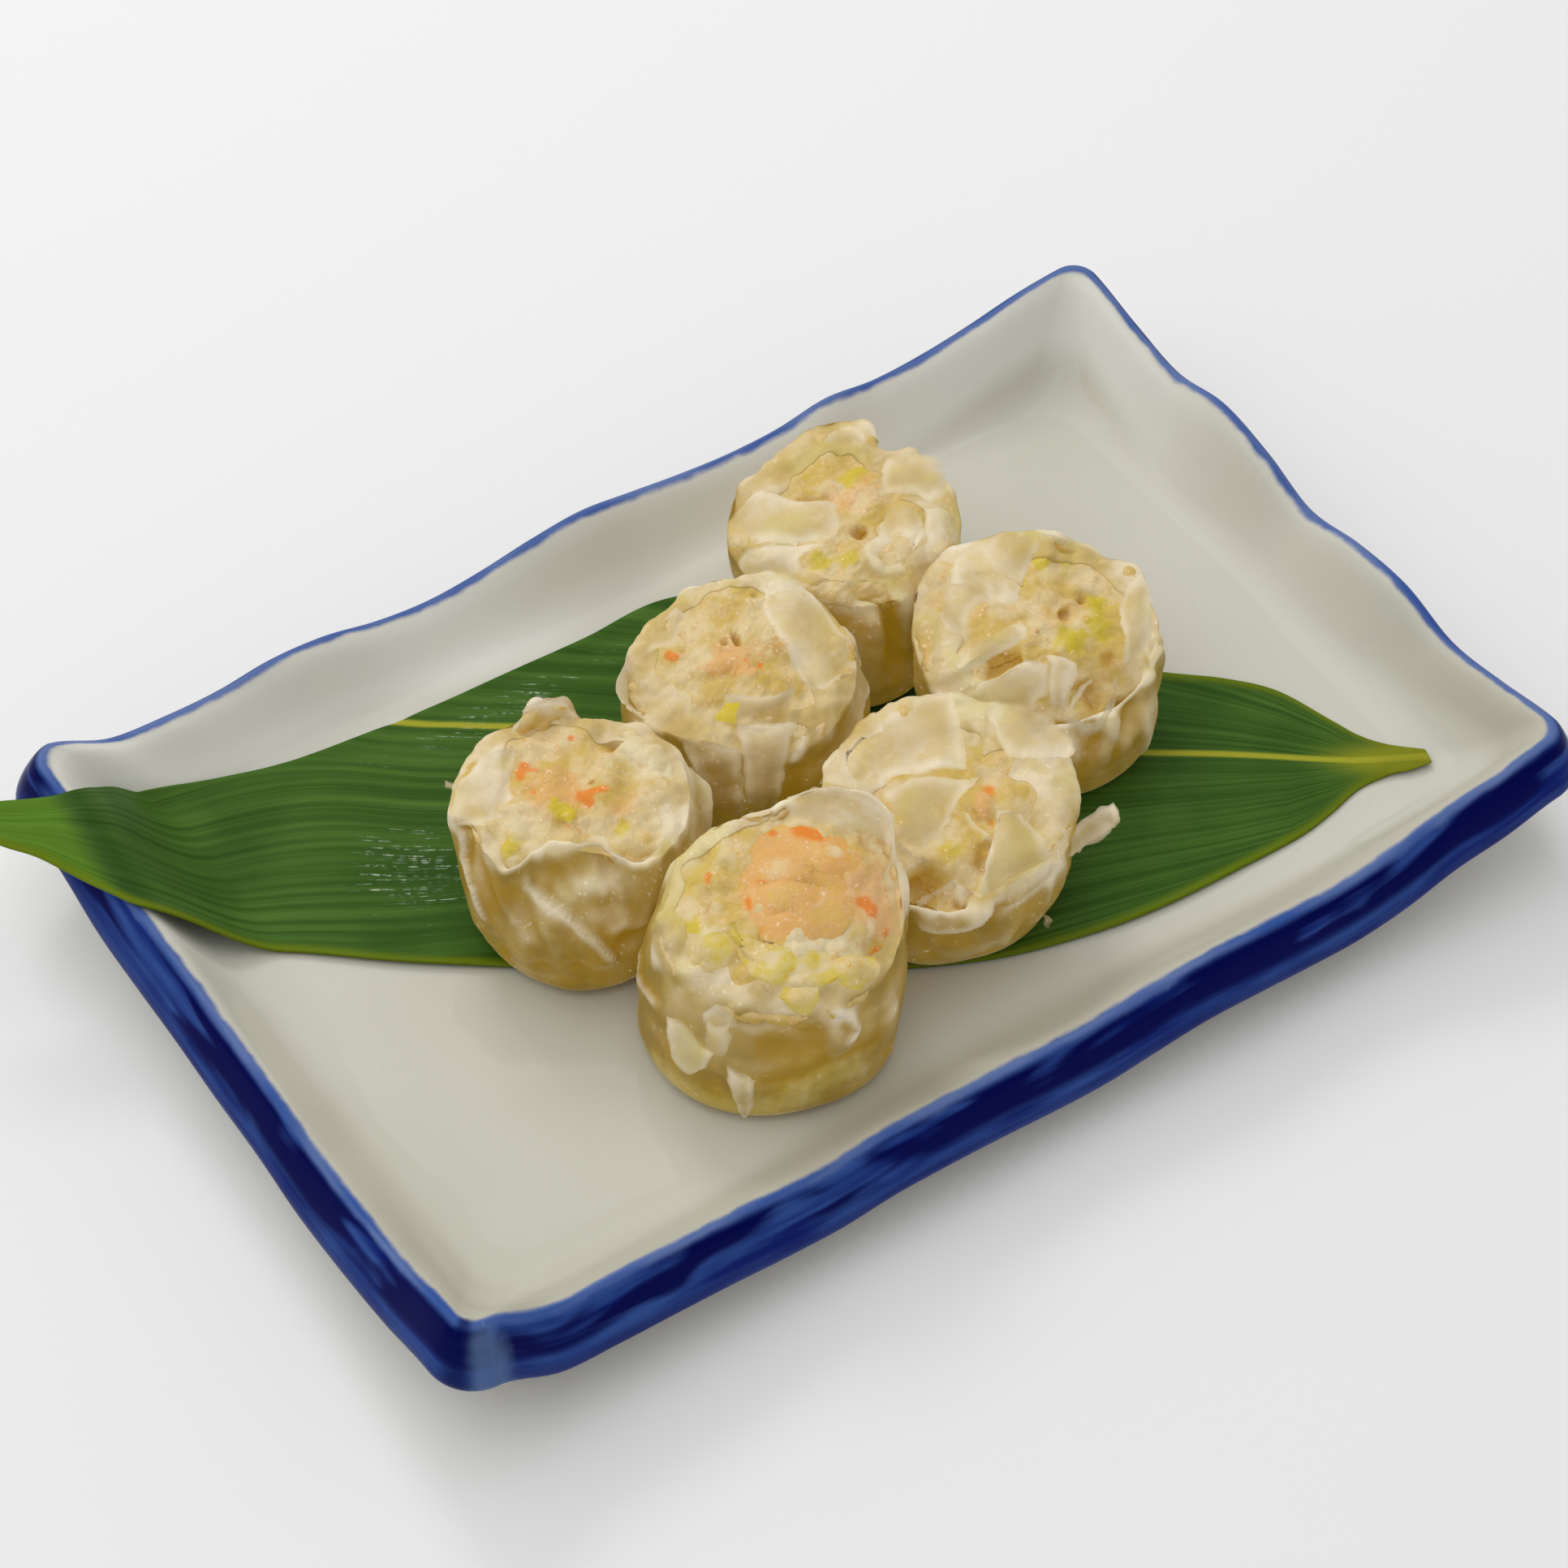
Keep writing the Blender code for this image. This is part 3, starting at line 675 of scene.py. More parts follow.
def skin_grid(dumpling):
    """The wrapper as rings: the base, the wall up to the ragged mouth, and the inside of the mouth."""
    foot = ring(dumpling["foot"])[:, 0]
    waist, waist_z = ring(dumpling["waist"]).T
    mouth, mouth_z = ring(dumpling["mouth"]).T
    seed = dumpling["node"]
    mouth_z = mouth_z + 0.22 * ripple(polar(mouth, 0), 3.1, seed + 70, 2)
    rings = [polar(foot * share, 0) for share in (0.02, 0.3, 0.6, 0.85)]
    rings += [polar(foot - inset, rise) for inset, rise in ((1.3, 0), (0.75, 0.12), (0.3, 0.45))]
    wall = spread(np.stack([polar(foot, 1.0), polar(waist, waist_z), polar(mouth, mouth_z)]), WALL_ROWS)
    side = wall[-1] - wall[-3]
    side /= np.linalg.norm(side, axis=1, keepdims=True)
    inward = -polar(1, 0)
    inner = [wall[-1] + inward * a + side * b for a, b in ((0.1, 0.2), (0.3, 0.3), (0.5, 0.2), (0.62, -0.05))]
    for drop in (0.2, 0.5, 0.8, 1.1, 1.5, 1.9, 2.4, 2.9, 3.5, 4.2, 5.0, 6.0):
        inner.append(wall[-1] + inward * (0.66 + 0.16 * drop) - np.array([0, 0, drop]))
    lip = ring(dumpling["lip"])[:, 0]
    lip = np.maximum(lip * (1 + 0.24 * ripple(polar(mouth, 0), 9, seed + 60, 2)), 0.4)
    folded = folded_share(dumpling)[:, None]
    inner = (1 - folded) * np.stack(inner) + folded * fold_over(dumpling, wall[-1], lip)
    floor = [inner[-1] * (share, share, 1) - np.array([0, 0, 0.5]) for share in (0.7, 0.35, 0.02)]
    return np.concatenate([rings, wall, inner, floor])


def folded_share(dumpling):
    """At each angle, 0 where the mouth stands open and 1 where the wrapper folds in over the filling."""
    return soften(ring(dumpling["lip"])[:, 0] / 1.6)


def fold_over(dumpling, start, lip):
    """Rows that lie on the filling from the mouth in to the wrapper's ragged edge, then go under it."""
    filling = filling_grid(dumpling)
    normal = blur(normals_of(filling, True), 4, True)
    column = np.arange(COLUMNS)
    laid = [dumpling.get("lip_rise", LIP_RISE)] * LAID_ROWS
    rows = []
    for step, rise in enumerate(laid + [0.1, -0.35, -1.0, -2.0], 1):
        along = min(step / LAID_ROWS, 1)
        row = FILLING_EDGE - 4.5 + along * (4.5 + ROWS_PER_MM * lip)
        low = row.astype(int)
        part = (row - low)[:, None]
        place = filling[low, column] * (1 - part) + filling[low + 1, column] * part
        place = place + normal[low, column] * rise
        reach = soften(along * 2.6)
        rows.append(start * (1 - reach) + place * reach)
    return np.stack(rows)


def dress_skin(dumpling, grid):
    """Wrinkles and pleats all round, then the marks."""
    row = np.arange(len(grid))[:, None]
    on_wall = soften((row - FOOT_ROWS + 1) / 6) * soften((MOUTH_ROW + 4 - row) / 6)
    climb = np.clip((row - FOOT_ROWS) / WALL_ROWS, 0, 1)
    wrinkles = WRINKLE_DEPTH * ripple(grid * (1, 1, 0.5), 8.5, dumpling["node"], 3)
    for angle, lift, width, lean in dumpling["pleats"]:
        off = (ANGLES[None] - angle - lean * climb + 180) % 360 - 180
        distance = off * math.pi / 180 * WALL_RADIUS
        wrinkles += PLEAT_DEPTH * lift * hump(distance, width) * soften(climb * 1.6)
    wrinkles *= on_wall
    grid = grid + normals_of(grid, True) * wrinkles[..., None]
    grid, tints = shape_grid(grid, dumpling["skin"], True)
    # Painted highlight on the wrinkles' crests.
    tints["thin"] += 0.28 * soften(wrinkles.ravel() * 1.6)
    # Painted shade in the wrinkles' valleys.
    tints["deep"] += 0.7 * soften(-wrinkles.ravel() * 1.8)
    return grid, tints


def filling_grid(dumpling):
    """The filling as rings: its hidden side, the rounded shoulder and the top in to the middle."""
    edge, edge_z = ring(dumpling["edge"]).T
    mouth, mouth_z = ring(dumpling["mouth"]).T
    top = dumpling["top"]
    grid = spread(np.stack([
        polar(edge * 0.9, np.minimum(mouth_z, edge_z) - 8),
        polar(mouth - 0.9, mouth_z - 1.6),
        polar(edge, edge_z),
        polar(edge * 0.56, top + (edge_z - top) * 0.35),
        polar(edge * 0.012, top),
    ]), FILLING_ROWS)
    seed = dumpling["node"] + 40
    lumps = 0.5 * ripple(grid, 8, seed, 2) + 0.22 * ripple(grid, 3.2, seed + 1, 3)
    grid = grid + normals_of(grid, True) * lumps[..., None]
    grid[-6:] = blur(grid, 6, True)[-6:]
    return grid


def sheet_grid(net, seed, unevenness=0.3):
    """A loose sheet spread through a net of points, slightly rippled, and its distance in from its edges.

    The net's first row is the root, which isn't an edge.
    """
    net = np.array([np.array(row, float).reshape(-1, 3) for row in net])
    long = np.linalg.norm(np.diff(net, axis=0), axis=2).sum(axis=0).max()
    wide = np.linalg.norm(np.diff(net, axis=1), axis=2).sum(axis=1).max()
    rows, columns = (int(np.clip(length / SHEET_CELL, 10, 60)) for length in (long, wide))
    fine = spread(spread(net, rows).swapaxes(0, 1), columns).swapaxes(0, 1)
    middle = fine.mean(axis=(0, 1))
    if normals_of(fine, False).mean(axis=(0, 1)) @ (middle[0], middle[1], 12) < 0:
        fine = fine[:, ::-1]
    down = np.linspace(0, 1, rows)[:, None] * long
    across = np.linspace(0, 1, columns) * wide
    edge = np.minimum(long - down, np.minimum(across, wide - across))
    shake = np.stack([ripple(fine, 2.3, seed + k, 2) for k in (5, 6, 7)], axis=-1)
    fine = fine + shake * 0.12 * np.exp(-edge / 0.8)[..., None]
    return fine + normals_of(fine, False) * (unevenness * ripple(fine, 7, seed, 2))[..., None], edge


def thick_sheet(grid, thickness, cells):
    """Points, faces and shading of a sheet that swells from nothing at its border over some cells.

    Also says which points of the grid are inside its border, since only those are there twice.
    """
    rows, columns = grid.shape[:2]
    row = np.arange(rows)[:, None]
    column = np.arange(columns)
    inside = np.minimum(np.minimum(row, rows - 1 - row), np.minimum(column, columns - 1 - column))
    swell = np.sqrt(np.clip(1 - (1 - np.minimum(inside, cells) / cells) ** 2, 0, 1))
    half = normals_of(grid, False) * (thickness / 2 * swell)[..., None]
    inner = inside > 0
    below = np.arange(rows * columns).reshape(rows, columns)
    below[inner] = rows * columns + np.arange(inner.sum())
    faces = quads(rows, columns, False)
    under = faces[:, ::-1]
    shaded = softly_facing(grid, False, 8).reshape(-1, 3)
    facing = turned(np.concatenate([shaded[faces], -shaded[under]]))
    points = np.concatenate([(grid + half).reshape(-1, 3), (grid - half)[inner]])
    return points, np.concatenate([faces, below.ravel()[under]]), inner, facing


def to_serving(dumpling, points):
    """Dumpling millimetres, from the middle of the base, to metres in the shared frame."""
    low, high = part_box(f"wrapper_{dumpling['node']}")
    return turned(points) * MM + np.array([(low.x + high.x) / 2, (low.y + high.y) / 2, low.z])


def turned(vectors):
    """Directions in a dumpling's own frame, in the shared frame."""
    return vectors.reshape(-1, 3) @ DUMPLING_AXES


def softly_facing(grid, closed, times):
    """The directions in which a grid is shaded: half its own, half evened out, as light spreads in food."""
    normal = normals_of(grid, closed)
    normal = 0.5 * normal + 0.5 * blur(normal, times, closed)
    return normal / np.linalg.norm(normal, axis=-1, keepdims=True)


def steepness(grid, closed):
    """0 where the surface lies flat and 1 where it stands upright."""
    return 1 - np.clip(abs(blur(normals_of(grid, closed), 6, closed)[..., 2]), 0, 1)


def add_food(dumpling, name, grid, tints, material, kind):
    """Adds a closed grid of food as one piece."""
    faces = closed_faces(len(grid), COLUMNS)
    # Steepness sets how much darker ochre, partly painted shade, the walls are painted.
    tints["steep"] = steepness(grid, True).ravel()
    facing = turned(softly_facing(grid, True, 24))[np.concatenate(faces)]
    points = to_serving(dumpling, grid)
    number = dumpling["node"]
    add_piece(f"{name}_{number}", points, faces, material, f"{kind}_{number}", tints, facing)


def sheet_tints(tint, sheet, edge, number):
    """How a loose sheet is tinted. tint is cabbage, a name of TINTS, or for dough how much painted shade lies
    in its folds.
    """
    shown = {key: np.zeros(edge.shape) for key in TINTS}
    share = np.linspace(1, 0, len(sheet))[:, None] * np.ones(edge.shape)
    thin = 0.62 * hump(edge, 2.4)
    if tint == "cabbage":
        shown["white"] += 0.4
        shown["green"] += 0.15 + 0.5 * soften(0.5 + ripple(sheet, 6, number, 3))
    elif isinstance(tint, str):
        shown[tint] += 1
    else:
        shown["thin"] = thin
        # Painted shade on a dough sheet, strongest at its root.
        shown["deep"] = tint * (0.35 + 0.65 * share) * (1 - 0.6 * thin)
    root = (1 - share) * np.linalg.norm(sheet[-1] - sheet[0], axis=1)
    cover = 0.9 if isinstance(tint, str) else (0.6 + 0.4 * thin) * (0.3 + 0.7 * soften(edge / 1.1))
    shown["steep"] = steepness(sheet, False) * 0.4
    shown["solid"] = soften(root / 2) * cover
    return shown


def add_flaps(dumpling, name, sheets, material, kind):
    """Adds loose, slim sheets as one piece."""
    points, faces, facing, shown = [], [], [], []
    for number, (tint, thickness, net) in enumerate(sheets):
        sheet, edge = sheet_grid(net, dumpling["node"] * 50 + number)
        more, more_faces, inner, more_facing = thick_sheet(sheet, thickness, 4)
        faces.append(more_faces + sum(map(len, points)))
        points.append(more)
        facing.append(more_facing)
        tints = sheet_tints(tint, sheet, edge, number)
        shown.append({key: np.append(values, values[inner]) for key, values in tints.items()})
    tints = {key: np.concatenate([each[key] for each in shown]) for key in shown[0]}
    points = to_serving(dumpling, np.concatenate(points))
    node = f"{kind}_{dumpling['node']}"
    name = f"{name}_{dumpling['node']}"
    piece = add_piece(
        name, points, np.concatenate(faces), material, node, tints, np.concatenate(facing)
    )
    piece.visible_shadow = False
    piece.visible_diffuse = False


def make_skin(dumpling, material, flap_material):
    grid, tints = dress_skin(dumpling, skin_grid(dumpling))
    above = np.arange(len(grid))[:, None] - MOUTH_ROW
    folded = folded_share(dumpling)
    open_rim = hump(above - 2, 3.5) * (1 - folded) * 0.7
    laid_edge = hump(above - 10, 2.5) * folded * dumpling.get("lip_white", LIP_WHITE)
    paleness = 0.25 + 0.3 * ripple(grid, 11, dumpling["node"] + 7, 2)
    shoulder = hump(above + 3, 6) * folded * paleness
    tints["thin"] += (open_rim + laid_edge + np.maximum(shoulder, 0)).ravel()
    # Painted shade where the folded wrapper tucks under the filling.
    tints["deep"] += (soften((above - 12) / 2) * folded * 0.12).ravel()
    add_food(dumpling, "wrapper_skin", grid, tints, material, "wrapper")
    add_flaps(dumpling, "wrapper_flaps", dumpling["sheets"], flap_material, "wrapper")


def make_filling(dumpling, material):
    grid, tints = shape_grid(filling_grid(dumpling), dumpling["filling"], True)
    add_food(dumpling, "filling_mix", grid, tints, material, "filling")
    if "bits" in dumpling:
        add_flaps(dumpling, "cabbage_bits", dumpling["bits"], material, "filling")


def make_shrimp(dumpling, material):
    """The piece of shrimp sunk in the top of a dumpling."""
    thickness, net, marks = dumpling["shrimp"]
    sheet, edge = sheet_grid(net, 9, 0.12)
    sheet, tints = shape_grid(sheet, marks, False)
    within = np.minimum(edge, np.linspace(0, 24, len(edge))[:, None]).ravel()
    tints["pink"] += soften(within / 3) * (0.8 + 0.3 * ripple(sheet, 4, 4, 3).ravel())
    points, faces, inner, facing = thick_sheet(sheet, thickness, 9)
    tints = {key: np.append(values, values[inner.ravel()]) for key, values in tints.items()}
    points = to_serving(dumpling, points)
    add_piece("shrimp_meat", points, faces, material, "shrimp_1", tints, facing)


def dough_finish(name, first, second, least_solid):
    """Cooked wheat dough: white and nearly clear at its slimmest edges, ochre on its walls and in its folds
    with painted shade, and wet. A painted glow, strongest in the folds, stands in for light passing through
    the dough, with painted glints.
    """
    skin = Finish(name, Coat_Roughness=0.25, Specular_IOR_Level=0.18, Emission_Strength=1.0)
    steep, deep, thin, pink, green, solid = map(
        skin.attribute, ("steep", "deep", "thin", "pink", "green", "solid")
    )
    cloud = skin.noise(8 * MM, 3)
    mottle = skin.noise(2 * MM, 3)
    wall = steep.fade(0.25, 0.95)
    hollow_shade = (deep + (mottle - 0.5) * 0.25).at_most(1.0).at_least(0.0)
    clear = (thin + (cloud - 0.5) * 0.2).fade(0.1, 0.9)
    sparkle = skin.noise(0.8 * MM, 2).fade(0.64, 0.7) * cloud.fade(0.45, 0.6)
    ochre = skin.paint(srgb(118, 93, 28), (cloud.fade(0.35, 0.65), srgb(160, 132, 62)))
    dough = skin.paint(
        first,
        (cloud.fade(0.35, 0.65), second),
        (skin.noise(4 * MM, 2).fade(0.48, 0.66) * 0.55, srgb(204, 174, 78)),
        (skin.noise(9 * MM, 2).fade(0.52, 0.66) * 0.4, srgb(212, 200, 112)),
        # The walls are painted darker ochre: partly the dough's own colour, partly painted shade on sides
        # that face away from the light.
        (wall * 0.92, ochre),
        ((mottle + cloud * 0.5).fade(0.75, 1.0) * (1 - wall) * 0.4, srgb(230, 214, 178)),
        # Painted shade in creases and furrows.
        (hollow_shade * 0.85, srgb(150, 112, 30)),
        # Whiter where the dough is slim and, through the same tint, painted highlight on ridges and crests.
        (clear * 0.85, srgb(240, 228, 202)),
        (pink.fade(0.0, 1.0) * 0.5, srgb(236, 188, 140)),
        (green.fade(0.0, 1.0) * 0.5, srgb(208, 198, 88)),
    )
    # Painted glow: the dough gives off a little warm light, most on walls and in creases, and the sparkle is
    # painted glints.
    glow = skin.paint(
        srgb(56, 50, 34),
        ((wall * 0.8 + hollow_shade * 0.6).at_most(1.0), srgb(92, 72, 10)),
        (clear, srgb(70, 62, 42)),
        (sparkle * 0.3, srgb(180, 178, 168)),
    )
    return skin.show(
        Base_Color=dough,
        Emission_Color=glow,
        Alpha=(solid * (1 - least_solid) + least_solid).at_most(1.0),
        Roughness=0.42 + (mottle - 0.5) * 0.2,
        Coat_Weight=skin.noise(1.6 * MM, 2).fade(0.5, 0.66) * (1 - wall * 0.8) * 0.5,
        Normal=skin.bump(skin.noise(0.9 * MM, 2) * 0.3 + mottle, 0.2 * MM, 0.5),
    )


def filling_finish(name, first, second):
    """Minced pork, shrimp and cabbage: two grounds in grains, with yellow-green and orange bits, and wet. Its
    sides and creases are painted darker as painted shade, and it has a painted glow with painted glints.
    """
    mince = Finish(name, Coat_Roughness=0.12, Specular_IOR_Level=0.2, Emission_Strength=1.0)
    steep, pink, white, deep, green, orange = map(
        mince.attribute, ("steep", "pink", "white", "deep", "green", "orange")
    )
    grain = mince.noise(1.8 * MM, 3)
    fine = mince.noise(0.7 * MM, 2)
    wall = steep.fade(0.3, 0.95)
    ragged = (grain + fine * 0.5 - 0.7) * 1.3
    body = mince.paint(
        first,
        (mince.noise(6 * MM, 3).fade(0.38, 0.62), second),
        # The filling's sides are painted darker, partly painted shade.
        (wall * 0.8, srgb(182, 152, 68)),
        (grain.fade(0.52, 0.68) * 0.45, srgb(230, 212, 168)),
        (fine.fade(0.6, 0.7) * 0.25, srgb(190, 148, 60)),
        ((pink + ragged).fade(0.05, 1.0) * 0.6, srgb(230, 166, 104)),
        ((white + ragged).fade(0.05, 1.0) * 0.65, srgb(232, 220, 184)),
        # Painted shade in the filling's creases.
        ((deep + ragged).fade(0.05, 1.0) * 0.85, srgb(160, 112, 26)),
        ((green + ragged).fade(0.05, 1.0) * 0.85, srgb(206, 184, 16)),
        ((orange + ragged).fade(0.05, 1.0) * 0.8, srgb(226, 120, 14)),
    )
    # Painted highlights: small glints on the top.
    sparkle = fine.fade(0.62, 0.7) * grain.fade(0.46, 0.56) * (1 - wall)
    # Painted glow: warm light given off on the sides, in creases and in the orange bits.
    glow = mince.paint(
        srgb(58, 50, 28),
        ((wall * 0.7 + deep * 0.7).at_most(1.0), srgb(92, 70, 10)),
        (orange * 0.7, srgb(76, 40, 0)),
        (sparkle * 0.45, srgb(186, 184, 172)),
    )
    return mince.show(
        Base_Color=body,
        Emission_Color=glow,
        Roughness=0.36 + (grain - 0.5) * 0.4,
        Coat_Weight=fine.fade(0.5, 0.62) * (1 - orange).at_least(0.0) * 0.9,
        Normal=mince.bump(grain * 0.8 + fine * 0.4 + mince.cells(1.5 * MM) * 0.3, 0.35 * MM, 0.6),
    )


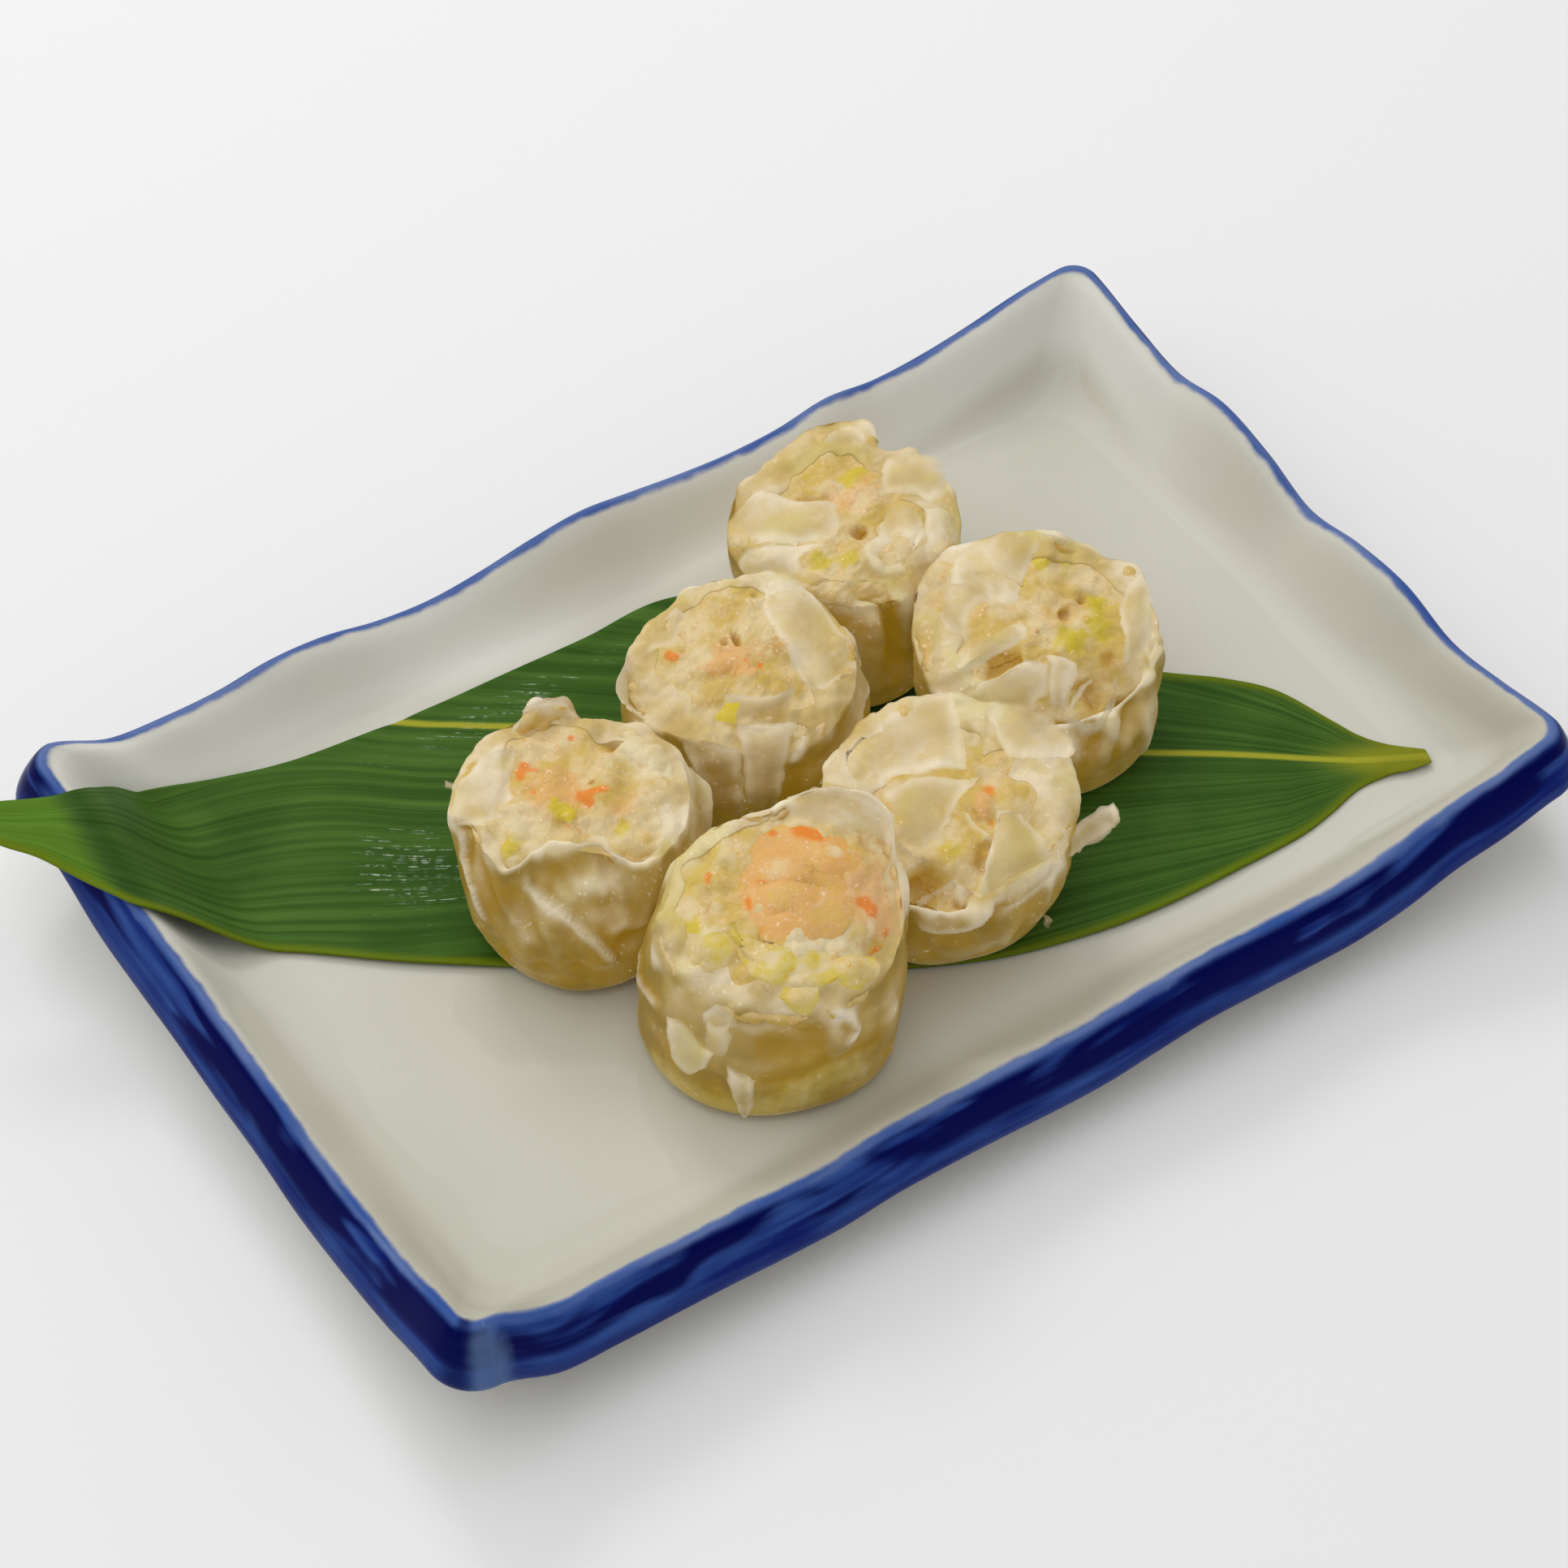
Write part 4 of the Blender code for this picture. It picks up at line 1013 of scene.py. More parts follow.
# Each dumpling: foot (angle, radius), then waist, mouth and filling edge (angle, radius, height), the
# height of the filling's middle (top), and how far the wrapper folds in over the filling (lip: angle,
# length). Pleats are (angle, lift, width, lean in degrees). Marks are (kind, width, amount, points along
# a line as x, y, z); sheets are (tint, thickness, rows of points, root row first). A dough sheet's tint
# says how much painted shade lies in its folds, and a mark tinted for creases is painted shade.
DUMPLINGS = [dict(
    node=1, top=29.5, lip_rise=0.15, lip_white=0,
    foot=[(0, 19), (60, 18.5), (120, 18.5), (180, 19.6), (-157, 19.6), (-130, 19.6), (-99, 19.1), (-70, 18.4),
        (-27, 19.4)],
    waist=[(0, 20, 13), (60, 19.5, 16), (120, 18, 16), (180, 19.3, 13), (-150, 19.6, 11.5), (-90, 19.2, 11),
        (-30, 19.6, 12)],
    mouth=[(-170, 17.6, 22), (-135, 17, 20.5), (-90, 16.6, 20), (-50, 17.2, 20.2), (-20, 18.4, 21.5),
        (5, 19, 24.5), (25, 19.6, 28.5), (42, 21.4, 33), (57, 19.4, 34), (72, 17.7, 34), (85, 15.7, 32),
        (97, 14.2, 30.5), (124, 14.6, 30), (150, 16, 27), (170, 16.6, 24)],
    edge=[(-90, 15.9, 22), (-50, 16.4, 21.5), (-15, 17.9, 22.5), (10, 18.3, 25), (45, 17.5, 30.5),
        (90, 14, 30.5), (135, 14.6, 29.5), (165, 16.3, 26), (-160, 16.6, 23.5), (-125, 16.5, 22)],
    lip=[(-170, 3.5), (168, 3), (150, 3), (120, 3), (100, 2), (88, 0), (60, 0), (35, 0), (20, 1.5), (0, 1.5),
        (-20, 2), (-45, 2.5), (-90, 3), (-130, 4)],
    pleats=[(80, 0.6, 2, 6), (115, 0.5, 2.4, -8), (150, 0.7, 2, 5), (20, 0.5, 2.2, -6)],
    skin=[
        ("spot thin", 3.5, 0.3, (-18.2, -8.1, 1, -13.5, -14.4, 0.9, -6, -18.1, 1.8, 1.2, -18.7, 4,
            8.2, -17.3, 6.8, 14.8, -13.1, 8.1)),
        ("spot green", 4, 0.6, (-18.2, -8.1, 1, -13.5, -14.4, 0.9, -6, -18.1, 1.8, 1.2, -18.7, 4,
            8.2, -17.3, 6.8, 14.8, -13.1, 8.1)),
        ("spot green", 6, 0.6, (-16.7, -3.7, 23.5, -15.1, 3.7, 26.4, -12, 8.2, 29.2, -6.1, 11.2, 30.7)),
        ("spot pink", 3.5, 0.6, (16.1, 5.5, 26.5, 17.3, 1.5, 25.1, 17.1, -2.8, 22.8)),
        ("ridge", 1.4, -0.8, (-1.5, -19.5, 10, 1.2, -19.3, 9.2, 5.9, -18.2, 9.1, 9.9, -17.2, 11.9,
            13.2, -14.4, 11.7, 16.6, -11.1, 9.8)),
        ("ridge", 4.2, -1, (-1.7, -17.8, 15.4, 1.7, -18.4, 14.8, 6.4, -17.3, 14.6, 9.7, -16.1, 16.3)),
        ("layer", 1.5, 0.6, (8.4, -14.6, 21.2, 11.2, -13.5, 18.5, 12.5, -13.7, 16.1, 10.9, -15.9, 15)),
        ("layer", 2.2, 0.6, (-15.6, -10.5, 15.2, -17.9, -6.9, 14.5, -19.5, -1.5, 11, -19.2, 1.2, 14.6)),
        ("ridge", 1, -0.5, (-14.7, -12.9, 8.9, -13.4, -14.6, 4.3, -11.4, -15.9, 1.4)),
        ("ridge", 1, -0.4, (0.7, -16.4, 21.6, 4.9, -16.6, 18.3, 8.9, -15.7, 17.4)),
        ("ridge", 1, 0.5, (17.4, -6.7, 19, 18, -7.8, 14.9, 17.1, -10.2, 12.4)),
        ("ridge", 1.2, -0.5, (16.6, -9.3, 16.2, 16.5, -11, 12.3, 17.9, -8.2, 3)),
    ],
    filling=[
        ("spot pink", 4.5, 1, (10.9, -2.4, 26.8, 13.7, 4.5, 27.6, 15.9, 1.1, 25.5, 15.1, -3.8, 24)),
        ("spot orange", 0.9, 1.2, (11.2, 0.6, 27.7, 13.3, 1.3, 27.2, 14.2, 0, 26.7, 15, 1.7, 26.3)),
        ("spot orange", 0.6, 1.1, (16.6, 5, 26.3, 16.9, 4.4, 25.5)),
        ("spot orange", 0.9, 1.1, (14.5, -5.6, 22.9, 15.6, -4.1, 22.7, 15.8, -3.4, 23.2)),
        ("spot orange", 0.6, 0.7, (16.2, -0.6, 24.4, 16.4, -2, 22.9)),
        ("spot orange", 0.5, 0.9, (-9.8, 4.4, 28.6, -9.7, 2.1, 28.2)),
        ("ridge", 1, -0.7, (-2.2, -6.7, 27.9, -0.8, -6.8, 27.4, 0.2, -7.7, 27.5)),
        ("ridge", 1.2, -0.6, (-10.7, 2.2, 27.5, -9.5, -2, 27.9, -10.4, -3.7, 27.3)),
        ("spot green", 1.9, 1.1, (-12.9, -5.7, 25.2, -11.6, -5, 26.2, -10.3, -4.8, 27.3)),
        ("spot green", 3, 0.35, (-14, 0.5, 26.1, -10.8, 5.1, 28.2, -7, 8.9, 30.2)),
        ("spot white", 3, 0.9, (-11.1, -8.3, 25, -8.5, -7.4, 26.8, -6.5, -7.9, 26.4)),
        ("ridge", 2.6, 0.9, (-11.1, -8.5, 24.7, -8.5, -7.7, 26.5, -6.4, -8.2, 26.3)),
        ("spot white", 3, 0.9, (1.6, -8.7, 27, 5.3, -6.9, 26.6, 10.7, -6.7, 25.7, 14.5, -7.7, 23.4)),
        ("ridge", 2.6, 0.8, (1.6, -9.1, 27, 5.3, -7.3, 26.5, 10.7, -7, 25.6)),
        ("spot white", 2, 0.9, (13.6, -2.9, 26.1, 14.8, -2.4, 25)),
        ("ridge", 1.3, -0.6, (11.7, -6, 24.9, 14.4, -4.1, 24.3, 16.5, -3.4, 22.5)),
        ("ridge", 1.2, 0.6, (6.1, 14.5, 31.5, 11.5, 15.1, 32.2, 15.7, 13, 31.9)),
        ("ridge", 2, -0.6, (10.3, 12.8, 30.1, 14.5, 10.8, 29.6, 13.9, 7.9, 28.8)),
    ],
    sheets=[
        (0, 0.6, [(-15.1, -10.3, 16.4, -12.4, -13.3, 16.4, -9.6, -15.7, 14.8, -7.1, -17.3, 14.3),
            (-14.6, -13.6, 13.8, -12.6, -15.4, 13, -10.5, -17, 12.5, -7.9, -18.1, 13.6),
            (-13.8, -14.5, 8.8, -12.3, -16.2, 7.6, -11.3, -16.8, 7.3, -8.9, -18, 10.8)]),
        (0, 0.7, [
            (-5.6, -17.6, 14.8, -6.3, -17.1, 15.3, -7.5, -16.8, 15.3, -8.8, -16.6, 14.3, -8.3, -17.3, 13.9,
                -7.1, -17.9, 14.3, -6.1, -18, 14.4),
            (-4.9, -16.7, 18.1, -6.3, -15.7, 19, -7.8, -15.4, 19, -9.3, -16.1, 18.1, -8.8, -17.5, 17.2,
                -7.1, -18.5, 17.8, -5.6, -17.8, 18.5),
            (-5, -16.1, 21.3, -6.3, -15.1, 21.9, -7.8, -14.8, 22, -9.4, -15.3, 20.4, -8.9, -16.5, 19.6,
                -7.3, -17.4, 20.1, -5.7, -16.9, 20.7)]),
        (0, 0.8, [(-6.4, -17.7, 13.4, -4, -18.6, 12, -1.7, -18.7, 11.6),
            (-5.2, -19.2, 9, -3.3, -19.9, 8.8, -1.7, -20, 8.7),
            (-4.1, -19.1, 3.3, -3, -19.7, 3.5, -1.8, -19.6, 4.1),
            (-3.2, -19.2, 0.5, -2.8, -19.5, 0.4, -2.4, -19.2, 0.5)]),
        (0.1, 0.6, [(1.4, 13.4, 30, 8.3, 11.5, 30.5, 14.8, 11, 29.4, 16.9, 9.1, 28.7),
            (0.9, 14.5, 32.2, 6.7, 14.7, 32.9, 12.6, 13.5, 32.1, 17.1, 10.8, 30.9),
            (1.2, 16, 32.4, 6.2, 16.4, 34.6, 11.7, 15.3, 35.1, 16.9, 12.9, 33.1)]),
    ],
    bits=[
        ("cabbage", 0.9, [(-4.9, -5.9, 27.8, -1.1, -7.7, 27.7, 3.6, -8, 27.4, 9, -7, 26, 12.8, -7, 24.7),
            (-6.1, -6.3, 28.2, -2.4, -10.3, 27.7, 2.4, -11.2, 27.6, 7.8, -10.6, 26.1, 13.8, -9.3, 25),
            (-6.3, -5.2, 28.7, -3.7, -9.7, 26.8, -1.2, -13.2, 27.4, 3.8, -13.4, 26.7, 8.2, -12.8, 25.5),
            (-5.6, -4.7, 28.4, -4.2, -10.1, 26.1, -2.2, -13.4, 26.8, 2.5, -14.2, 26.3, 7.5, -13.1, 25.2)]),
        ("cabbage", 0.9, [(2.2, -13.2, 24.9, 4.5, -12.8, 24.6, 6.9, -12.3, 23.9),
            (1.4, -15.3, 24.9, 4.3, -15.4, 24.7, 6.8, -14.5, 23.7),
            (3.5, -16.2, 23.1, 5, -16.4, 22.4, 6.2, -15.8, 22.8)]),
        ("cabbage", 1, [(8.4, -8, 25.6, 11.7, -6.8, 24.8, 15, -5.2, 23),
            (8.6, -10.8, 25.4, 11.9, -10, 25.6, 15.7, -8.2, 23.6),
            (10.2, -12.4, 24.5, 12.6, -12.5, 23.8, 14.9, -9.2, 23)]),
        ("cabbage", 0.8, [(-12.3, -5.4, 26, -9.3, -6, 27.5, -6.6, -6, 27.2),
            (-12.4, -7.5, 24.9, -9.1, -9, 27.1, -5.7, -9.2, 27),
            (-11.4, -10, 24.9, -8.6, -10.8, 25, -6.3, -10.6, 25.6)]),
    ],
    shrimp=(3.4, [(-3.2, 10.1, 29.1, 0.7, 13.7, 29.1, 5.5, 13.3, 29.6, 9.9, 11.3, 28.6),
        (-5.4, 5.8, 28.8, 0.3, 7.5, 28.8, 6.1, 7.7, 29, 12.3, 6.7, 28),
        (-5.9, 2.2, 26.8, 0.5, 1.3, 29.5, 6.2, 2.6, 28.3, 13.1, 3.7, 26.4),
        (-4.6, -3.4, 26.8, 0.7, -3.1, 28, 5.7, -2.1, 27.7, 11.9, -1.4, 25.5),
        (-1.4, -7.5, 26.3, 2.3, -7.8, 26.1, 5.3, -6.6, 25.4, 9.3, -4.5, 25)], [
        ("spot orange", 1, 1.7, (2.1, 12.6, 29.9, 3.5, 11.3, 29, 5.6, 10.4, 29.2, 7.7, 10.4, 29.3)),
        ("spot orange", 0.7, 1.3, (-1.5, 10.1, 28.7, -0.5, 11.5, 28.4)),
        ("spot orange", 0.9, 1.3, (-1.9, 1.3, 29.3, -1.9, 2.7, 29.4)),
        ("spot orange", 0.5, 1.1, (-3.2, 0.1, 27.5, -3.2, -2.8, 27.8)),
        ("spot orange", 0.8, 1.2, (10.7, 1.2, 27.1, 12.1, 1.5, 26.6)),
        ("spot orange", 0.7, 0.8, (-1.9, -5.7, 27.2, -1.2, -5.9, 26.8)),
        ("ridge", 2.2, 0.5, (-0.5, 8.6, 29.5, 1.7, 4.6, 29.8, 1.2, 1.6, 29.1)),
        ("ridge", 2, 0.5, (7.1, 8.1, 29.1, 7.8, 4.8, 28.9)),
        ("spot white", 2.5, 0.45, (-0.3, 5.5, 29.5, 1.1, 2.1, 29.6)),
        ("spot white", 2, 0.4, (5.3, 0.3, 27.8, 6.7, -1, 27.4)),
        ("ridge", 1, -0.6, (-2.9, 1.2, 28.8, 1.8, 1.9, 29.3, 8.6, 2.3, 27.7)),
        ("ridge", 1, -0.5, (-1.6, -4, 27.8, 2, -2.1, 27.9, 6.1, -2.3, 26.8)),
        ("spot deep", 1.6, 0.4, (4.4, 5.4, 29, 5.2, 3.5, 28.8)),
        ("spot deep", 1.2, 0.4, (8.6, 3.6, 28.2, 9.9, 3.9, 28.6)),
        ("spot white", 0.8, 0.9, (7.9, 9, 28.9, 8.3, 6.5, 29)),
    ]),
), dict(
    node=2, top=21.5,
    foot=[(-109, 16.7), (-72, 15.2), (-26, 16), (0, 17), (60, 17), (120, 17), (180, 17), (-140, 17)],
    waist=[(0, 19, 11), (60, 18.5, 12), (120, 18.5, 12), (180, 19, 11), (-140, 19, 10), (-106, 18.4, 9),
        (-74, 18.2, 9), (-29, 18.6, 10)],
    mouth=[(172, 20, 19.5), (141, 20, 20.5), (129, 20.2, 21), (100, 19.6, 22), (75, 19.2, 22), (45, 20.5, 20),
        (25, 20, 19.5), (4, 19.6, 18.5), (-29, 18.2, 17.5), (-74, 18.6, 16.5), (-106, 18.4, 16),
        (-140, 18.2, 17), (-165, 19, 18.5)],
    edge=[(180, 17.5, 20), (135, 17.8, 21), (90, 17.5, 22), (45, 17.5, 20.5), (0, 17, 19.5),
        (-45, 15.5, 18.5), (-90, 15, 17.5), (-135, 15.5, 18.5)],
    lip=[(180, 6), (150, 7), (120, 7), (90, 6), (60, 7), (30, 6), (0, 5), (-30, 6), (-60, 3), (-90, 0),
        (-120, 0), (-150, 4)],
    pleats=[(60, 0.7, 2, 8), (95, 0.8, 2.2, -6), (130, 0.6, 2, 5), (170, 0.7, 2, -8), (25, 0.5, 2, 4)],
    skin=[
        ("layer", 3, 1.6, (-5.5, -17.7, 14.1, -1.3, -18.3, 12.6, 2.5, -18.4, 13.8, 5.5, -17.5, 16,
            8.5, -15.1, 17.2, 12.3, -12.4, 17.5, 15.8, -9.2, 17.8)),
        ("ridge", 3, -0.8, (-2.3, -18.3, 9.5, 1.5, -18.4, 9.4, 5.2, -17.7, 10.4)),
        ("ridge", 1.2, 0.5, (6.8, -16.8, 15.5, 8.3, -16.6, 11.2, 9.7, -12.1, 0.9)),
        ("ridge", 1.5, -0.7, (12.8, -13.1, 14.9, 12.2, -14.1, 11, 10.9, -11.9, 2.8)),
        ("ridge", 1, 0.5, (15, -11, 15.9, 14.4, -12, 11.6, 13.1, -12.1, 6.9)),
        ("ridge", 1.2, -0.5, (-4.4, -18, 12, -2.8, -17.5, 6.9, -0.7, -16.6, 2.7)),
    ],
    filling=[
        ("chunk pink", 1.2, 0.9, (4.5, -0.2, 21.5, 4.4, -2.4, 20.8)),
        ("spot orange", 0.9, 0.9, (5.2, 4.1, 20.5, 5.6, 0, 21.4)),
        ("spot orange", 0.6, 0.8, (6, -3.3, 20.4, 5.9, -4.5, 20.3)),
        ("chunk white", 0.5, 0.9, (2.2, -3.1, 20.5, 3.7, -4.9, 19.9, 5.2, -6.8, 20.4)),
        ("spot green", 2.4, 0.6, (-2.5, -8, 20, 2, -10.1, 20.4)),
        ("spot green", 2, 0.5, (12.1, 7.9, 21, 17, 6.5, 20)),
        ("spot green", 1.6, 0.4, (3, 10.6, 21.6, 5.3, 8.3, 21.1)),
        ("ridge", 3.5, -2.6, (-6.1, -13.5, 18.4, -4.1, -14.3, 17.5, -1.6, -12.8, 17.9)),
        ("ridge", 1.4, -1, (5.7, -6.2, 20.4, 4.8, -9.9, 19.9, 4, -12.7, 18.2)),
        ("ridge", 1.4, -1.2, (0.4, -15.5, 16.3, 2.6, -17.2, 16.6)),
    ],
    sheets=[
        (0.25, 0.5, [(-11.1, 14, 21.6, -12.5, 9.7, 21.6, -13, 5.1, 21.4, -11.6, 1.3, 20.8),
            (-4.9, 18.9, 22.3, -6.2, 13.3, 22.7, -7.3, 8.7, 22.1, -7.2, 3.2, 22.4),
            (-0.4, 19.7, 23, 0.7, 13.1, 23.6, 1.5, 8.9, 22.6, 2.2, 5.3, 21.9)]),
        (0.2, 0.5, [(-11.3, 0.5, 20.6, -8.9, -4.7, 20.5, -7.8, -8.1, 19.7, -4.3, -10.8, 19.2),
            (-6, 2.1, 22.5, -4.9, -1.8, 22.3, -3.9, -5, 21.2, -3.1, -7.5, 19.8),
            (3.9, 4.4, 21.3, 1.1, -0.8, 22, -0.4, -4.5, 21.4, -2.3, -7.4, 20.3)]),
        (0.2, 0.6, [(-20.2, 3, 19.1, -18.5, 6.8, 20, -15.6, 13.3, 20.1, -12.3, 14.9, 21.2, -10.9, 13.5, 21.7),
            (-18.3, 2, 20.7, -17.2, 5.9, 21.2, -15.1, 9.5, 21.6, -12.9, 11.3, 22.1, -10.6, 11.7, 22.3),
            (-14.2, 0.4, 21.9, -15.7, 3.9, 22.2, -16, 7.1, 21.9, -15.1, 9.4, 21.7, -12.2, 10.5, 22.1)]),
        (0.15, 0.5, [(18.6, 12.4, 20.7, 15.3, 16.7, 21.2, 10.7, 18.4, 22.1, 6.1, 19.3, 22.7),
            (18.2, 10.1, 20.9, 14.4, 13.7, 20.4, 10, 14.7, 22.3, 5.5, 17.6, 22.6),
            (15.3, 9.1, 20.9, 11.3, 8, 22.1, 8.1, 8.7, 22, 5.2, 15.6, 22.5)]),
        (0.1, 0.5, [(2.9, 19.2, 21.6, 6.2, 17.8, 21.7, 9.5, 17.6, 21, 12.1, 17.2, 21.1),
            (2.5, 19.7, 23, 6.5, 19, 24.1, 9.9, 19.3, 24.5, 12.5, 18.1, 23.8),
            (3.7, 20.5, 24, 6.3, 20.3, 25.6, 9.6, 21, 27.2, 14.2, 18.8, 24.9),
            (5, 19.6, 23.7, 7.8, 20.5, 25.9, 10.6, 22, 28.1, 14.1, 21.6, 28.2)]),
        (0.35, 0.6, [(5.7, -16.5, 16.8, 8.6, -15, 16.9, 12.3, -12.2, 17.2, 16, -9.1, 16.8),
            (4.5, -15.6, 19.3, 6.6, -13.6, 20, 10.2, -10.9, 20.5, 14.8, -8.1, 19.7),
            (5.4, -10.8, 21.6, 7.2, -9, 22, 10.1, -7, 21.5, 13.2, -5.4, 20.3),
            (6.4, -5.7, 21.9, 7, -4.6, 22.1, 8.8, -3.7, 22.1, 11, -3.5, 20.8),
            (6.6, -3, 22.1, 7.5, -2.7, 22.3, 8.9, -2.5, 22.1, 10.4, -2.5, 21.2)]),
        (0, 0.5, [
            (-4.4, -17.8, 15.3, -3, -15.9, 15.4, -1.2, -14.7, 16.3, 0.3, -13.9, 16.9, 0.7, -14.5, 16.7,
                -0.7, -16.6, 15.9, -2.1, -18.3, 16.2, -3.2, -18.1, 16.3, -3.6, -16.4, 15.2),
            (-5, -18.3, 16.9, -3.6, -15.7, 16.9, -1.5, -14.4, 17.9, 0.5, -13.9, 19, 0.7, -14.7, 18.8,
                -0.9, -16.9, 17.5, -2.2, -18.1, 17.1, -3.3, -17.7, 17, -3.8, -16.6, 16.7)]),
        (0.2, 0.6, [(16.4, -8.5, 16.5, 15.4, -7.5, 18.3), (20.2, -0.8, 11.6, 19, -0.2, 16.1),
            (23.5, -0.8, 14.7, 21.9, 0.3, 19.8), (25.6, -1.4, 19.6, 24.4, 1.5, 20.2)]),
        (0, 0.5, [(15.1, -7, 0.3, 15.8, -7.5, 0), (15.1, -9.1, 5.9, 16.2, -10.2, 5.6)]),
        (0.4, 0.5, [(1.1, -16.7, 15.9, 3.3, -17.6, 16.2, 5.7, -16.6, 16.6),
            (0.7, -15.2, 17.1, 2.9, -15.6, 17.3, 5, -16, 18.4),
            (0.8, -14, 18.8, 2.3, -14.8, 18.1, 4.5, -16.8, 18.4)]),
        (0.3, 0.5, [(-3, -11, 19.1, -5.5, -11.6, 19.2, -8.1, -9.7, 19.1),
            (-3.1, -11, 20.1, -5.6, -10.6, 20.4, -8.9, -7.4, 20.8)]),
    ],
), dict(
    node=3, top=23.5,
    foot=[(-62, 17.1), (-41, 17.5), (-22, 18), (0, 17.5), (60, 17), (120, 17), (180, 17), (-120, 16.5),
        (-90, 16.8)],
    waist=[(0, 18.6, 11), (60, 18, 13), (120, 18, 13), (150, 20.5, 13), (180, 19.8, 11), (-150, 18.5, 10),
        (-90, 17, 10), (-60, 17.5, 9), (-30, 18.6, 10)],
    mouth=[(180, 20, 17), (150, 22, 21.5), (130, 19.5, 24), (108, 17.6, 26), (90, 17.2, 25.5),
        (60, 18.2, 22.5), (42, 20.6, 22), (25, 18.5, 21), (8, 18, 19.5), (-15, 17.2, 17), (-45, 15, 15),
        (-80, 14.2, 14.5), (-120, 16, 15), (-150, 18.5, 16)],
    edge=[(180, 17, 19), (140, 17, 23.5), (100, 15.8, 25.5), (60, 16, 22.5), (30, 16.8, 21), (0, 15.6, 19.5),
        (-40, 13.5, 16.5), (-90, 12.5, 16), (-135, 14.5, 17)],
    lip=[(180, 4), (150, 5), (120, 7), (90, 5), (60, 2), (30, 2), (0, 2), (-25, 0), (-60, 0), (-90, 0),
        (-120, 2), (-150, 4)],
    pleats=[(60, 0.7, 2, 8), (95, 0.6, 2.2, -6), (130, 0.7, 2, 5), (20, 0.6, 1.6, -4), (0, 0.5, 1.5, 3),
        (-20, 0.7, 1.6, 5), (-40, 0.6, 1.8, -6)],
    skin=[
        ("ridge", 1.5, -2.4, (-15.9, 9.2, 23.1, -16.5, 6.7, 21.5, -17.7, 4.3, 20.2)),
        ("ridge", 3, 1.2, (-14.8, -3.3, 19.6, -14.9, -5.9, 18.1, -13.7, -8.5, 17.7)),
        ("ridge", 1.5, 0.9, (15.9, -7.3, 14.1, 16.5, -9.1, 10, 16.9, -7, 1.8)),
        ("ridge", 1, -0.9, (14.3, -7.7, 15.4, 12.8, -11.7, 12.3, 11.5, -13.7, 7)),
        ("ridge", 1.3, 0.6, (11.1, -10.5, 14.8, 9.9, -13.6, 11.2, 9.1, -15, 3.8)),
        ("ridge", 1.2, -0.9, (9.5, -12.7, 13.2, 8, -14.7, 10.2, 6.9, -15.8, 5.5)),
        ("ridge", 1, 0.5, (13.2, -8.7, 14.7, 11.9, -12.6, 12.4, 10.4, -14.5, 6.4)),
        ("ridge", 1.2, -0.6, (-18.9, 2.1, 19.4, -18.5, -1.8, 17.7, -17.7, -6.5, 16.4)),
    ],
    filling=[
        ("spot green", 3.2, 1.3, (-2.4, 11.4, 24.3, -0.7, 12.5, 25.3, 1.1, 11.8, 24.9)),
        ("spot green", 1.8, 1, (-4.2, 7.9, 24.9, -2.9, 7.9, 24.2)),
        ("spot green", 2.2, 0.6, (2.3, 13.1, 24.6, 5.4, 13, 23.2)),
        ("spot green", 2.4, 1.2, (0.9, -1.5, 22.7, 3.8, -2.5, 22.7, 6.8, -2.1, 21.6)),
        ("spot green", 1.8, 1.3, (8.4, 8.3, 21.6, 8.8, 1.6, 22.8, 8.3, -2.3, 21)),
        ("spot white", 1.5, 0.5, (3.2, -0.1, 23, 5.3, 1.7, 23.3)),
        ("ridge", 0.9, -1.6, (2, 1.9, 23.8, 4.1, 2.2, 23.2)),
        ("ridge", 0.9, -1.3, (5.1, 6.8, 22.1, 6.6, 6.3, 22.2)),
        ("ridge", 0.7, -0.8, (-0.8, -1.3, 23.2, -1.1, -2.1, 23.1)),
        ("ridge", 2.8, -2.2, (6.7, -7.3, 19.1, 8, -9.9, 17.4, 5.8, -11, 16.3)),
        ("ridge", 2.6, -2.4, (-10.3, -7.4, 18.9, -7.3, -6.7, 20.5, -3.4, -5.1, 22.4)),
        ("spot pink", 2.4, 0.5, (-0.6, -0.4, 23.5, 5.3, 3.4, 23.2)),
        ("ridge", 1, 0.6, (-0.1, 3.4, 24.5, 2.4, 7, 22.6, 5.4, 8.4, 22.5, 8.4, 8.6, 21.7)),
        ("spot deep", 1.4, 0.7, (9.8, -2.7, 20.8, 10.2, -5.1, 19.1)),
    ],
    sheets=[
        (0, 0.8, [(-13.2, 14, 23.7, -8, 16.6, 25.4, -3.6, 16.6, 25.5, -0.7, 14.7, 25.2),
            (-14.9, 9.8, 23.9, -10, 11.7, 25.2, -6, 11.3, 26.2, -1.8, 12.6, 25.2),
            (-14.3, 7.1, 23.7, -10.2, 7.4, 24.1, -6.5, 7.2, 25.1, -3.4, 7.4, 24.6),
            (-11.6, 7.1, 22.7, -8.7, 4.6, 23.2, -6.4, 3.3, 23.2, -4.5, 3.4, 23.5)]),
        (0.1, 0.8, [(-16.6, 3, 20.3, -16.4, 5.9, 21, -14.2, 7.8, 23.1, -10.8, 8.9, 24.2, -7.6, 7.8, 24),
            (-14.9, -0.3, 20.7, -14.7, 2.9, 22.3, -12.8, 5.3, 23.3, -10.5, 6.5, 23.8, -8.2, 4.8, 24.2),
            (-12, -2, 20.9, -12.1, 0, 22.2, -11.3, 2.5, 23, -9.8, 4, 23.1, -8.1, 3, 23.1)]),
        (0.2, 0.8, [(-13.3, -3.3, 18.9, -9.7, -2.5, 21.7, -6.2, -0.1, 21.9, -3.6, 1.2, 22.1),
